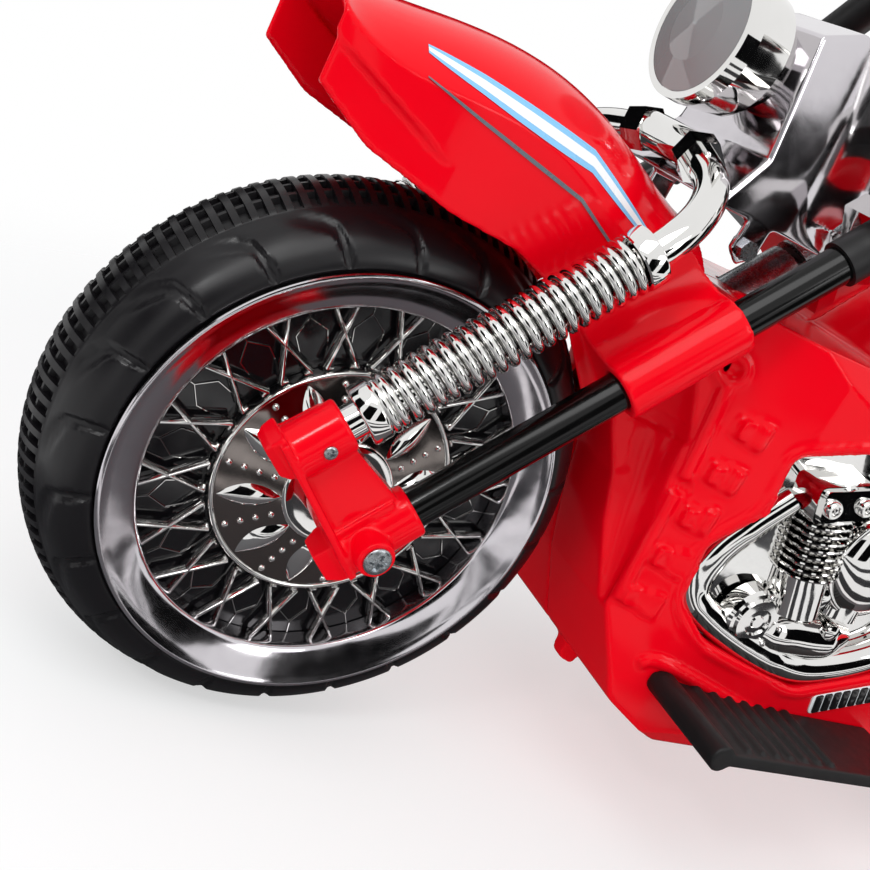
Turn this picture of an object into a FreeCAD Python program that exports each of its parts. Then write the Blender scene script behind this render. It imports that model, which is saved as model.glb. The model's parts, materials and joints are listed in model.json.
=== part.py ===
import FreeCAD, Part
import math
import os
import Sketcher

# Kids electric motorbike with a springer fork: one steered front wheel, two rear wheels on one axle.
# Frame: +X forward, +Y to the rider's left, +Z up, origin on the floor under the middle of the bike.

V = FreeCAD.Vector

# Driving dimensions in millimetres, and angles in degrees where the name says so.
SIZES = {
    # Layout
    "wheelbase": 780,
    "rake_angle": 39.5,
    "fork_half_track": 90,
    "stem_offset": 60,
    # Clearances: press and sliding seats, running shafts, loose neighbours
    "seat_clearance": 0.05,
    "running_clearance": 0.06,
    "gap_clearance": 0.3,
    # Front wheel
    "tyre_radius": 164,
    "tread_depth": 6,
    "tread_half_width": 22,
    "lug_width": 4.6,
    "tyre_half_width": 49,
    "sidewall_drop": 11,
    "rim_radius": 131,
    "rim_lip": 4,
    "rim_lip_height": 2.5,
    "ring_width": 22.5,
    "ring_dish": 9.5,
    "web_half_width": 28,
    "disc_radius": 70,
    "disc_height": 9,
    "spoke_width": 3.6,
    "spoke_height": 4.4,
    "spoke_lift": 5,
    "petal_length": 34,
    "petal_rise": 5.2,
    "petal_sink": 0.8,
    "hub_cap_radius": 32,
    "hub_cap_thickness": 1.2,
    "hub_cap_eye": 12,
    "hub_radius": 26,
    "hub_half_width": 46,
    "bush_radius": 9,
    "bush_length": 20,
    "axle_radius": 5,
    "axle_head_radius": 8,
    "axle_head_height": 4,
    "spacer_radius": 19,
    # Fork
    "fork_tube_radius": 11,
    "fork_tube_bore": 9,
    "fork_tube_foot": 9,
    "spring_lead": 67,
    "bracket_width": 32,
    "bracket_lobe": 15.8,
    "bracket_drop": 19,
    "bracket_tube_rise": 30,
    "bracket_rod_rise": 20,
    "bracket_web": 24,
    "bracket_boss": 13.5,
    "bracket_flange": 4,
    "bracket_lug_drop": 14,
    "screw_radius": 3.5,
    "screw_head": 1.6,
    "rod_radius": 9.5,
    "rod_foot": 2,
    "rod_bend_start": 200,
    "rod_bend_radius": 60,
    "rod_bend_angle": 72,
    "spring_foot": 37,
    "spring_length": 151,
    "spring_mean_radius": 14.3,
    "spring_wire": 3.6,
    "collar_radius": 15.8,
    "collar_height": 9,
    "bridge_radius": 11,
    "bridge_hex": 14,
    # Fender
    "fender_wall": 3,
    "fender_half_width": 60,
    "sleeve_wall": 6,
    "sleeve_foot": 157,
    "sleeve_length": 76,
    # Steering head
    "fork_collar_radius": 13.5,
    "fork_collar_height": 22,
    "yoke_foot": 322,
    "yoke_thickness": 14,
    "top_yoke_foot": 404,
    "stem_radius": 12,
    "head_tube_radius": 21,
    "head_tube_foot": 207,
    "head_tube_length": 112,
    "head_bush_length": 14,
    "stem_nut_height": 9,
    "cowl_half_width": 52,
    "cowl_wall": 2.5,
    "cowl_setback": 21.9,
    "tab_thickness": 4,
    "bolt_radius": 3,
    "bolt_head": 6.5,
    "headlight_radius": 40,
    "headlight_depth": 50,
    "lens_thickness": 4,
    "bar_radius": 10,
    "grip_radius": 15,
    "grip_length": 104,
    "bar_half_width": 262,
    "console_length": 74,
    "console_width": 84,
    "console_height": 24,
    "button_radius": 9,
    "button_proud": 5,
    "button_travel": 2.5,
    # Body
    "body_wall": 3,
    "body_half_width": 112,
    "body_bottom": 62,
    "neck_top": 351,
    "tank_top": 440,
    "seat_line": 338,
    "side_round": 14,
    "plan_round": 14,
    "shoulder_round": 24,
    "neck_length": 288,
    "well_gap": 12,
    "chin_reach": 28,
    "neck_setback": 163,
    "scoop_radius": 43,
    "scoop_top": 20,
    "pad_rise": 1.5,
    "pad_pitch": 31,
    "pad_size": 13,
    "screw_pocket": 2,
    "pocket_depth": 14,
    "insert_thickness": 4,
    "fin_radius": 23,
    "barrel_length": 104,
    "cleaner_radius": 38,
    "crescent_radius": 8,
    "fin_thickness": 3,
    "footboard_thickness": 9,
    "footboard_reach": 58,
    "footboard_lead": 245,
    "footboard_length": 190,
    "footboard_top": 122,
    "rib_height": 2.5,
    "rib_pitch": 13,
    "rib_width": 5,
    "vent_length": 74,
    "vent_height": 16,
    "vent_proud": 2,
    "vent_lead": 404,
    "vent_angle": 20,
    "seat_length": 244,
    "seat_back": 37,
    "seat_height": 46,
    "seat_half_width": 70,
    # Rear
    "rear_radius": 130,
    "rear_tyre_inner": 166,
    "rear_tyre_width": 82,
    "rear_rim_radius": 92,
    "rear_ring_width": 14,
    "rear_web_depth": 16,
    "rear_cap_radius": 26,
    "rear_cap_eye": 10,
    "rear_hub_radius": 22,
    "rear_axle_radius": 6,
    "drive_sleeve_radius": 12,
    "cap_radius": 16,
    "rear_fender_gap": 18,
    "rear_fender_wall": 3,
    "gearbox_length": 96,
    "gearbox_width": 70,
    "gearbox_height": 70,
    "motor_radius": 19,
    "motor_length": 62,
    "battery_length": 70,
    "battery_width": 47,
    "battery_height": 106,
    # Controls
    "pedal_length": 92,
    "pedal_width": 40,
    "pedal_thickness": 9,
    "pedal_pin_radius": 3,
    "pedal_rise_angle": 11,
    "switch_length": 26,
    "switch_width": 15,
    "switch_pin": 1.6,
    "switch_level": 292,
    "bezel_place": -150,
    "bezel_length": 92,
    "bezel_height": 34,
    "bezel_depth": 13,
    "socket_radius": 7,
    "tail_light_radius": 17,
}

# Counts
TREAD_LUGS = 110
SPOKE_CROSSES = 18
SPRING_TURNS = 22
ENGINE_FINS = 7
FOOTBOARD_RIBS = 7
HUB_PETALS = 10
STRAP_PADS = 5


class Size(float):
    """A length that keeps the sheet expression it comes from."""

    def __new__(cls, value, text):
        size = float.__new__(cls, value)
        size.text = text
        return size

    def joined(self, sign, other, value, swapped=False):
        first, second = (text_of(other), self.text) if swapped else (self.text, text_of(other))
        return Size(value, f"({first} {sign} {second})")

    def __add__(self, other):
        return self.joined("+", other, float(self) + float(other))

    def __radd__(self, other):
        return self.joined("+", other, float(other) + float(self), True)

    def __sub__(self, other):
        return self.joined("-", other, float(self) - float(other))

    def __rsub__(self, other):
        return self.joined("-", other, float(other) - float(self), True)

    def __mul__(self, other):
        return self.joined("*", other, float(self) * float(other))

    def __rmul__(self, other):
        return self.joined("*", other, float(other) * float(self), True)

    def __truediv__(self, other):
        return self.joined("/", other, float(self) / float(other))

    def __neg__(self):
        return Size(-float(self), f"(0 - {self.text})")


def text_of(value):
    """Sheet expression of a size, or the number itself."""
    return value.text if isinstance(value, Size) else repr(float(value))


doc = FreeCAD.newDocument("kids_motorbike")
sheet = doc.addObject("Spreadsheet::Sheet", "Sizes")
for row, (alias, value) in enumerate(SIZES.items(), start=1):
    sheet.set(f"A{row}", alias)
    sheet.set(f"B{row}", str(value))
    sheet.setAlias(f"B{row}", alias)
doc.recompute()


class SheetSizes:
    """Sizes read back from the sheet by name."""

    def __getattr__(self, name):
        return Size(sheet.get(name), f"Sizes.{name}")


mm = SheetSizes()
pieces = []

# Places that the whole bike shares
REAR_REACH = mm.rear_radius + mm.rear_fender_gap + mm.rear_fender_wall
AXLE_X = (mm.wheelbase + REAR_REACH - mm.tyre_radius) / 2
REAR_X = AXLE_X - mm.wheelbase
RAKE = math.radians(mm.rake_angle)
ALONG_Y = FreeCAD.Rotation(V(1, 0, 0), -90)
ALONG_X = FreeCAD.Rotation(V(0, 1, 0), 90)
NO_TURN = FreeCAD.Rotation()
FRONT_AXLE = FreeCAD.Placement(V(AXLE_X, 0, mm.tyre_radius), NO_TURN)
# Fork frame: x ahead of the fork, y left, z up along the tubes, from the front axle
FORK = FRONT_AXLE * FreeCAD.Placement(V(0, 0, 0), FreeCAD.Rotation(V(0, 1, 0), -mm.rake_angle))
REAR_AXLE = FreeCAD.Placement(V(REAR_X, 0, mm.rear_radius), NO_TURN)
SIDES = (("left", 1), ("right", -1))


def at(frame, x, y, z, turn=NO_TURN):
    """Placement at a point of a frame."""
    return frame * FreeCAD.Placement(V(x, y, z), turn)


WORLD = FreeCAD.Placement()


def bind(obj, name, value):
    """Set a property of an object, by expression where the value comes from the sheet."""
    if isinstance(value, Size):
        obj.setExpression(name, value.text)
    else:
        setattr(obj, name, value)


def keep(obj, label):
    """Name an object as a piece of the bike."""
    obj.Label = label
    pieces.append(obj)
    return obj


def cylinder(name, radius, height, place):
    """Cylinder that stands on its placement's origin, along its z axis."""
    obj = doc.addObject("Part::Cylinder", name)
    bind(obj, "Radius", radius)
    bind(obj, "Height", height)
    obj.Placement = place
    return obj


def box(name, length, width, height, place):
    """Box centred on its placement in x and y, standing on it in z."""
    obj = doc.addObject("Part::Box", name)
    bind(obj, "Length", length)
    bind(obj, "Width", width)
    bind(obj, "Height", height)
    obj.Placement = at(place, -length / 2, -width / 2, 0)
    return obj


def cut(name, base, *tools):
    """Base with the tools taken away."""
    tool = tools[0] if len(tools) == 1 else fuse(name + "_tools", *tools)
    obj = doc.addObject("Part::Cut", name)
    obj.Base = base
    obj.Tool = tool
    return obj


def fuse(name, *parts):
    """Parts joined into one."""
    obj = doc.addObject("Part::MultiFuse", name)
    obj.Shapes = list(parts)
    return obj


def group(name, *parts):
    """Separate solids kept in one piece."""
    obj = doc.addObject("Part::Compound", name)
    obj.Links = list(parts)
    return obj


def solid(name, shape, place=WORLD):
    """Shape made with Part's own functions."""
    obj = doc.addObject("Part::Feature", name)
    obj.Shape = shape
    obj.Placement = place
    return obj


def ring(name, radius, bore, height, place):
    """Tube with a bore along its z axis."""
    return cut(name, cylinder(name + "_outer", radius, height, place),
               cylinder(name + "_bore", bore, height, place))


def profile(body, role, corners):
    """Closed sketch of straight lines whose corners are bound to the sheet."""
    sketch = body.newObject("Sketcher::SketchObject", body.Name + "_profile")
    plane = [f for f in body.Origin.OriginFeatures if f.Role == role][0]
    sketch.AttachmentSupport = [(plane, "")]
    sketch.MapMode = "FlatFace"
    count = len(corners)
    for start, end in zip(corners, corners[1:] + corners[:1]):
        sketch.addGeometry(Part.LineSegment(V(*start, 0), V(*end, 0)), False)
    for i in range(count):
        sketch.addConstraint(Sketcher.Constraint("Coincident", i, 2, (i + 1) % count, 1))
    for i, corner in enumerate(corners):
        for kind, value in zip(("DistanceX", "DistanceY"), corner):
            number = sketch.addConstraint(Sketcher.Constraint(kind, -1, 1, i, 1, float(value)))
            if isinstance(value, Size):
                sketch.setExpression(f"Constraints[{number}]", value.text)
    return sketch


def revolved(name, corners, place):
    """Body turned about its y axis from corners given as (radius, y)."""
    body = doc.addObject("PartDesign::Body", name)
    sketch = profile(body, "XY_Plane", corners)
    turn = body.newObject("PartDesign::Revolution", name + "_turn")
    turn.Profile = sketch
    turn.ReferenceAxis = (sketch, ["V_Axis"])
    turn.Angle = 360
    body.Placement = place
    return body


def padded(name, role, corners, length, place):
    """Body padded evenly to both sides of its sketch plane."""
    body = doc.addObject("PartDesign::Body", name)
    sketch = profile(body, role, corners)
    pad = body.newObject("PartDesign::Pad", name + "_pad")
    pad.Profile = sketch
    pad.SideType = "Symmetric"
    bind(pad, "Length", length)
    body.Placement = place
    return body


def mirrored(corners):
    """Corners of one half, then the same corners with y turned round, from last to first."""
    return corners + [(r, -y) for r, y in reversed(corners) if float(y) != 0]


def outline_face(points):
    """Face of straight lines through points."""
    return Part.Face(Part.makePolygon(points + points[:1]))


def rounded_face(points, radius):
    """Flat face of a polygon with rounded corners, tighter where the edges beside a corner are short."""
    arcs = []
    for number, corner in enumerate(points):
        back = points[number - 1] - corner
        ahead = points[(number + 1) % len(points)] - corner
        half = back.getAngle(ahead) / 2
        reach = min(radius / math.tan(half), 0.45 * min(back.Length, ahead.Length))
        back.normalize()
        ahead.normalize()
        curve = reach * math.tan(half)
        middle = corner + (back + ahead).normalize() * (curve / math.sin(half) - curve)
        arcs.append(Part.Arc(corner + back * reach, middle, corner + ahead * reach).toShape())
    edges = []
    for number, arc in enumerate(arcs):
        following = arcs[(number + 1) % len(arcs)]
        edges += [arc, Part.LineSegment(arc.Vertexes[-1].Point, following.Vertexes[0].Point).toShape()]
    return Part.Face(Part.Wire(edges))


def prism(points, height):
    """Straight prism on an outline, along a vector."""
    return outline_face(points).extrude(height)


def bent_path(points, bend):
    """Wire of straight runs joined by tangent arcs of one radius."""
    edges = []
    start = points[0]
    for before, corner, after in zip(points, points[1:], points[2:]):
        into = (before - corner).normalize()
        out = (after - corner).normalize()
        half = into.getAngle(out) / 2
        reach = bend / math.tan(half)
        first = corner + into * reach
        last = corner + out * reach
        middle = corner + (into + out).normalize() * (bend / math.sin(half) - bend)
        edges.append(Part.LineSegment(start, first).toShape())
        edges.append(Part.Arc(first, middle, last).toShape())
        start = last
    edges.append(Part.LineSegment(start, points[-1]).toShape())
    return Part.Wire(edges)


def swept(path, radius):
    """Round bar along a wire."""
    first = path.Edges[0]
    start = first.valueAt(first.FirstParameter)
    along = first.tangentAt(first.FirstParameter)
    section = Part.Wire([Part.makeCircle(radius, start, along)])
    shell = Part.BRepOffsetAPI.MakePipeShell(path)
    shell.add(section)
    shell.build()
    shell.makeSolid()
    return shell.shape()


# Front wheel


def tyre_blank(name, radius, rim, half_width, web, hub, hub_half, bore, tread_half, place):
    """Turned tyre moulding with its recessed webs and hub."""
    half = [
        (bore, hub_half),
        (hub, hub_half),
        (hub, web),
        (rim - mm.rim_lip, web),
        (rim - mm.rim_lip, half_width),
        (rim + mm.rim_lip, half_width),
        (rim + mm.sidewall_drop, half_width - mm.rim_lip),
        (radius - mm.tread_depth * 1.8, tread_half + mm.rim_lip),
        (radius - mm.tread_depth, tread_half / 2),
    ]
    return revolved(name, mirrored(half), place)


def tread_lugs(radius, tread_half, count):
    """Transverse lugs of the ladder tread about the y axis."""
    depth = mm.tread_depth
    corners = [(radius - 2.6 * depth, tread_half), (radius - depth * 1.1, tread_half),
               (radius, tread_half / 2)]
    section = [V(r, y, -mm.lug_width / 2) for r, y in mirrored(corners)]
    lug = prism(section, V(0, 0, mm.lug_width))
    lugs = []
    for number in range(count):
        copy = lug.copy()
        copy.rotate(V(0, 0, 0), V(0, 1, 0), 360 * number / count)
        lugs.append(copy)
    return lugs


def trim_blank(name, trim, side):
    """Turned rim ring and capped hub disc of a wheel trim, as two solids on the web."""
    rim, web, half_width, disc = trim["rim"], trim["web"], trim["half_width"], trim["disc"]
    gap = mm.gap_clearance
    seat = rim - mm.rim_lip - gap
    face = half_width + mm.rim_lip_height
    ring_corners = [
        (seat, web),
        (seat, half_width),
        (rim, half_width),
        (rim, face - 1),
        (rim - mm.rim_lip, face),
        (rim - trim["ring_width"], face - mm.ring_dish),
        (rim - trim["ring_width"] - 2, web),
    ]
    cap_foot = trim["hub_half"] + gap
    cap_face = cap_foot + mm.hub_cap_thickness
    disc_corners = [
        (trim["hub"] + gap, web),
        (trim["hub"] + gap, cap_foot),
        (trim["cap_eye"], cap_foot),
        (trim["cap_eye"], cap_face),
        (trim["cap"] - mm.hub_cap_thickness, cap_face),
        (trim["cap"], cap_foot),
        (disc, web + trim["disc_height"]),
        (disc, web),
    ]
    shapes = []
    for part, corners in (("ring", ring_corners), ("disc", disc_corners)):
        sided = [(r, side * y) for r, y in corners]
        shapes.append(revolved(f"{name}_{part}", sided, WORLD))
    return shapes


def crossed_spokes(inner, outer, level, side, crosses):
    """Pairs of ridged spokes that cross between the hub disc and the rim ring."""
    spokes = []
    pitch = 2 * math.pi / crosses
    half, high = mm.spoke_width / 2, mm.spoke_height
    for number in range(crosses):
        middle = CROSS_START + number * pitch
        for lean in (-1, 1):
            near = middle - lean * pitch * SPOKE_HUB_SPREAD
            far = middle + lean * pitch * SPOKE_RIM_SPREAD
            start = V(inner * math.cos(near), side * level, inner * math.sin(near))
            end = V(outer * math.cos(far), side * level, outer * math.sin(far))
            across = (end - start).normalize().cross(V(0, side, 0))
            rise = V(0, side, 0)
            left, right = start - across * half, start + across * half
            shoulder = rise * (high * 0.4)
            section = [left, right, right + shoulder, start + rise * high, left + shoulder]
            spokes.append(prism(section, end - start))
    return spokes


# Lacing: angle of the first crossing, and the spread of a pair at the hub and rim as shares of the pitch
CROSS_START = math.radians(8)
SPOKE_HUB_SPREAD = 0.345
SPOKE_RIM_SPREAD = 0.18
PETAL_START = math.radians(15.8)


def hub_petals(trim, side):
    """Petals of the hub disc: pointed spindles that lie half sunk along its slope."""
    foot = trim["hub_half"] + mm.gap_clearance
    edge = trim["web"] + trim["disc_height"]
    slope = (edge - foot) / (trim["disc"] - trim["cap"])
    start = trim["cap"] + 0.5
    end = start + mm.petal_length
    petals = []
    for number in range(HUB_PETALS):
        angle = PETAL_START + 2 * math.pi * number / HUB_PETALS
        ray = V(math.cos(angle), 0, math.sin(angle))
        near = ray * start + V(0, side * foot, 0)
        far = ray * end + V(0, side * (foot + slope * mm.petal_length), 0)
        out = (far - near).cross(V(0, side, 0)).cross(far - near).normalize()
        near, far = near - out * mm.petal_sink, far - out * mm.petal_sink
        arc = Part.Arc(near, (near + far) * 0.5 + out * mm.petal_rise, far).toShape()
        face = Part.Face(Part.Wire([arc, Part.LineSegment(far, near).toShape()]))
        spindle = face.revolve(near, far - near, 360)
        if spindle.Volume < 0:
            spindle.reverse()
        petals.append(spindle)
    return petals


def wheel_trim(label, trim, side, crosses, place):
    """Chrome trim: ring, hub disc, crossed spokes and petals in one moulding."""
    ring_body, disc_body = trim_blank(label, trim, side)
    doc.recompute()
    level = trim["web"] + mm.spoke_lift
    bars = crossed_spokes(trim["disc"] - 3, trim["rim"] - trim["ring_width"] + 2, level, side, crosses)
    if trim["petals"]:
        bars += hub_petals(trim, side)
    shape = ring_body.Shape.multiFuse([disc_body.Shape] + bars)
    return keep(solid(label, shape.Solids[0], place), label)


def front_wheel():
    """Tyre with its tread, two trims and the bushes in the hub."""
    bore = mm.bush_radius + mm.seat_clearance
    blank = tyre_blank("front_tyre_blank", mm.tyre_radius, mm.rim_radius, mm.tyre_half_width,
                       mm.web_half_width, mm.hub_radius, mm.hub_half_width, bore,
                       mm.tread_half_width, WORLD)
    doc.recompute()
    lugs = tread_lugs(mm.tyre_radius, mm.tread_half_width, TREAD_LUGS)
    keep(solid("front_tyre", blank.Shape.multiFuse(lugs).Solids[0], FRONT_AXLE), "front_tyre")
    trim = {"rim": mm.rim_radius, "ring_width": mm.ring_width, "half_width": mm.tyre_half_width,
            "web": mm.web_half_width, "disc": mm.disc_radius, "disc_height": mm.disc_height,
            "hub": mm.hub_radius, "hub_half": mm.hub_half_width, "cap": mm.hub_cap_radius,
            "cap_eye": mm.hub_cap_eye, "petals": True}
    for name, side in SIDES:
        wheel_trim(f"front_wheel_trim_{name}", trim, side, SPOKE_CROSSES, FRONT_AXLE)
    bushes = []
    for name, side in SIDES:
        foot = side * (mm.hub_half_width - mm.bush_length / 2) - mm.bush_length / 2
        bushes.append(ring(f"front_bush_{name}", mm.bush_radius,
                           mm.axle_radius + mm.running_clearance, mm.bush_length,
                           at(FRONT_AXLE, 0, foot, 0, ALONG_Y)))
    keep(group("front_wheel_bushes", *bushes), "front_wheel_bushes")


# Springer fork


def front_axle():
    """Axle bolt with its large head, its nut and the two hub spacers."""
    inner = mm.fork_half_track - mm.bracket_width / 2
    outer = mm.fork_half_track + mm.bracket_width / 2
    tail = mm.axle_head_height * 3
    rod = cylinder("axle_rod", mm.axle_radius, outer * 2 + tail,
                   at(FRONT_AXLE, 0, -outer - tail, 0, ALONG_Y))
    head = cylinder("axle_head", mm.axle_head_radius, mm.axle_head_height,
                    at(FRONT_AXLE, 0, outer, 0, ALONG_Y))
    keep(fuse("front_axle", rod, head), "front_axle")
    nut = doc.addObject("Part::Prism", "axle_nut_blank")
    nut.Polygon = 6
    bind(nut, "Circumradius", mm.axle_head_radius + 1)
    bind(nut, "Height", mm.axle_head_height * 2)
    nut.Placement = at(FRONT_AXLE, 0, -outer - mm.axle_head_height * 2, 0, ALONG_Y)
    bore = cylinder("axle_nut_bore", mm.axle_radius + mm.seat_clearance, mm.axle_head_height * 2,
                    nut.Placement)
    keep(cut("axle_nut", nut, bore), "axle_nut")
    spacers = []
    start = mm.hub_half_width + mm.hub_cap_thickness + 2 * mm.gap_clearance
    for name, side in SIDES:
        foot = start if side > 0 else -inner
        spacers.append(ring(f"axle_spacer_{name}", mm.spacer_radius,
                            mm.axle_radius + mm.seat_clearance, inner - start,
                            at(FRONT_AXLE, 0, foot, 0, ALONG_Y)))
    keep(group("axle_spacers", *spacers), "axle_spacers")


def fork_bracket(name, side):
    """Moulded bracket: a round lobe on the tube, one on the spring rod, a boss at the axle and two lugs."""
    label = f"fork_bracket_{name}"
    lead, track, lobe = mm.spring_lead, side * mm.fork_half_track, mm.bracket_lobe
    low, tube_rise, rod_rise = mm.bracket_drop, mm.bracket_tube_rise, mm.bracket_rod_rise
    corners = [(-lobe * 0.8, -low), (lead + lobe * 0.8, -low), (lead + lobe * 0.7, rod_rise - 3),
               (lobe, tube_rise - 3), (-lobe * 0.7, tube_rise - 4)]
    parts = [
        cylinder(label + "_tube_lobe", lobe, low + tube_rise, at(FORK, 0, track, -low)),
        cylinder(label + "_rod_lobe", lobe, low + rod_rise, at(FORK, lead, track, -low)),
        cylinder(label + "_boss", mm.bracket_boss, mm.bracket_width,
                 at(FORK, 0, track - mm.bracket_width / 2, 0, ALONG_Y)),
        padded(label + "_web", "XZ_Plane", corners, mm.bracket_web, at(FORK, 0, track, 0)),
        box(label + "_flange", lead + 2 * lobe - 2, mm.bracket_width - 2, mm.bracket_flange,
            at(FORK, lead / 2, track, -low - mm.bracket_flange / 2)),
    ]
    for number, u in enumerate((-2, lead + 6)):
        lug = Part.makeLoft([
            Part.makePolygon([V(u + a * 12, b * 11, -low + 2) for a, b in LUG_CORNERS]),
            Part.makePolygon([V(u + a * 9, b * 8, -low - mm.bracket_lug_drop) for a, b in LUG_CORNERS]),
        ], True, True)
        parts.append(solid(f"{label}_lug{number}", lug, at(FORK, 0, track - side * 4, 0)))
    block = fuse(label + "_block", *parts)
    reach = low * 3
    tools = [
        cylinder(label + "_tube_socket", mm.fork_tube_radius + mm.seat_clearance, reach,
                 at(FORK, 0, track, mm.fork_tube_foot)),
        cylinder(label + "_rod_socket", mm.rod_radius + mm.seat_clearance, reach,
                 at(FORK, lead, track, mm.rod_foot)),
        cylinder(label + "_axle_bore", mm.axle_radius + mm.seat_clearance, mm.bracket_width * 2,
                 at(FORK, 0, track - mm.bracket_width, 0, ALONG_Y)),
    ]
    return cut(label, block, *tools)


LUG_CORNERS = ((-1, -1), (1, -1), (1, 1), (-1, 1), (-1, -1))


def helix_point(angle, foot, pitch, radius):
    """Point and unit tangent of a helix about the z axis."""
    rise = pitch / (2 * math.pi)
    point = V(radius * math.cos(angle), radius * math.sin(angle), foot + rise * angle)
    tangent = V(-radius * math.sin(angle), radius * math.cos(angle), rise).normalize()
    return point, tangent


def biarc(start, start_tangent, end, end_tangent):
    """Two arcs that join two points with the given tangents."""
    chord = end - start
    both = start_tangent + end_tangent
    square = 2 * (1 - start_tangent.dot(end_tangent))
    span = chord.dot(both)
    if abs(square) < 1e-9:
        reach = chord.dot(chord) / (2 * span)
    else:
        reach = (-span + math.sqrt(span * span + square * chord.dot(chord))) / square
    joint = (start + start_tangent * reach + end - end_tangent * reach) * 0.5
    arcs = []
    for first, tangent, last in ((start, start_tangent, joint), (end, -end_tangent, joint)):
        run = last - first
        bend = run - tangent * run.dot(tangent)
        radius = run.dot(run) / (2 * bend.Length)
        centre = first + bend.normalize() * radius
        middle = centre + ((first + last) * 0.5 - centre).normalize() * radius
        arcs.append(Part.Arc(first, middle, last).toShape())
    return arcs


def coil_path(foot, length):
    """Spring wire: a straight end, the curls as biarcs of half turns, and a straight end."""
    wire, radius = mm.spring_wire, mm.spring_mean_radius
    lead_in = math.radians(40)
    low = foot + wire * 2
    pitch = (length - wire * 4) / SPRING_TURNS
    first, first_tangent = helix_point(lead_in, low, pitch, radius)
    last_angle = 2 * math.pi * SPRING_TURNS - lead_in
    start = V(radius, 0, foot)
    straight = start + V(0, 0, wire)
    up = V(0, 0, 1)
    edges = [Part.LineSegment(start, straight).toShape()]
    edges += biarc(straight, up, first, first_tangent)
    halves = 2 * SPRING_TURNS
    step = (last_angle - lead_in) / halves
    point, tangent = first, first_tangent
    for number in range(1, halves + 1):
        following, heading = helix_point(lead_in + number * step, low, pitch, radius)
        edges += biarc(point, tangent, following, heading)
        point, tangent = following, heading
    finish = V(radius, 0, foot + length)
    before = finish - V(0, 0, wire)
    edges += biarc(point, tangent, before, up)
    edges.append(Part.LineSegment(before, finish).toShape())
    return Part.Wire(Part.__sortEdges__(edges))


def least_self_gap(path, wire):
    """Least clear distance between neighbouring turns of a wound tube, measured on points."""
    points = path.discretize(Number=SPRING_TURNS * 48)
    skip = 30
    least = min((points[i] - points[j]).Length
                for i in range(len(points)) for j in range(i + skip, min(len(points), i + 4 * skip)))
    return least - wire


def springs():
    """Chrome rods with bent tops, their springs and collars, and the bridge that joins the rods."""
    lead, track = mm.spring_lead, mm.fork_half_track
    coil = coil_path(mm.spring_foot, mm.spring_length)
    print("spring least self gap", round(least_self_gap(coil, mm.spring_wire), 2))
    coil_shape = swept(coil, mm.spring_wire / 2)
    bend = math.radians(mm.rod_bend_angle)
    collars = []
    rods = []
    for name, side in SIDES:
        axis = at(FORK, lead, side * track, 0)
        end_y = -side * mm.rod_bend_radius * (1 - math.cos(bend))
        end_z = mm.rod_bend_start + mm.rod_bend_radius * math.sin(bend)
        mid_y = -side * mm.rod_bend_radius * (1 - math.cos(bend / 2))
        mid_z = mm.rod_bend_start + mm.rod_bend_radius * math.sin(bend / 2)
        heading = V(0, -side * math.sin(bend), math.cos(bend))
        reach = (track - abs(end_y) - BRIDGE_REACH * mm.bridge_hex) / math.sin(bend)
        top = V(0, end_y, end_z)
        path = Part.Wire([
            Part.LineSegment(V(0, 0, mm.rod_foot), V(0, 0, mm.rod_bend_start)).toShape(),
            Part.Arc(V(0, 0, mm.rod_bend_start), V(0, mid_y, mid_z), top).toShape(),
            Part.LineSegment(top, top + heading * reach).toShape(),
        ])
        rods.append(solid(f"spring_rod_{name}", swept(path, mm.rod_radius), axis))
        label = f"fork_spring_{name}"
        keep(solid(label, coil_shape, axis), label)
        for part, foot in (("lower", mm.spring_foot - mm.collar_height),
                           ("upper", mm.spring_foot + mm.spring_length)):
            collars.append(ring(f"spring_collar_{name}_{part}", mm.collar_radius,
                                mm.rod_radius + mm.seat_clearance, mm.collar_height,
                                at(FORK, lead, side * track, foot)))
        bridge_height = end_z + reach * math.cos(bend)
    keep(group("spring_collars", *collars), "spring_collars")
    keep(group("spring_rods", *rods), "spring_rods")
    return spring_bridge(bridge_height, bend)


BRIDGE_REACH = 2.6


def spring_bridge(height, bend):
    """Chrome cross piece with hexagon ends square to the bent rods, and a tongue to the cowl."""
    lead = mm.spring_lead
    half = BRIDGE_REACH * mm.bridge_hex
    parts = []
    for name, side in SIDES:
        nut = doc.addObject("Part::Prism", f"bridge_nut_{name}")
        nut.Polygon = 6
        bind(nut, "Circumradius", mm.bridge_hex)
        bind(nut, "Height", mm.bridge_hex)
        facing = FreeCAD.Rotation(V(0, 0, 1), V(0, -side * math.sin(bend), math.cos(bend)))
        nut.Placement = at(FORK, lead, side * half, height, facing)
        parts.append(nut)
    inner = half - mm.bridge_hex * math.sin(bend)
    rise = height + mm.bridge_hex * math.cos(bend)
    parts.append(cylinder("bridge_bar", mm.bridge_radius, inner * 2 + 6,
                          at(FORK, lead, -inner - 3, rise, ALONG_Y)))
    keep(fuse("spring_bridge", *parts), "spring_bridge")
    return rise


def fork_tubes():
    """Black fork tubes, their brackets, and the collars under the lower yoke."""
    collars = []
    tubes = []
    brackets = []
    for name, side in SIDES:
        brackets.append(fork_bracket(name, side))
        track = side * mm.fork_half_track
        top = mm.top_yoke_foot + mm.yoke_thickness
        tubes.append(ring(f"fork_tube_{name}", mm.fork_tube_radius, mm.fork_tube_bore,
                          top - mm.fork_tube_foot, at(FORK, 0, track, mm.fork_tube_foot)))
        collars.append(ring(f"fork_collar_{name}", mm.fork_collar_radius,
                            mm.fork_tube_radius + mm.seat_clearance, mm.fork_collar_height,
                            at(FORK, 0, track, mm.yoke_foot - mm.fork_collar_height)))
    keep(group("fork_brackets", *brackets), "fork_brackets")
    keep(group("fork_tubes", *tubes), "fork_tubes")
    keep(group("fork_collars", *collars), "fork_collars")


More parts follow.
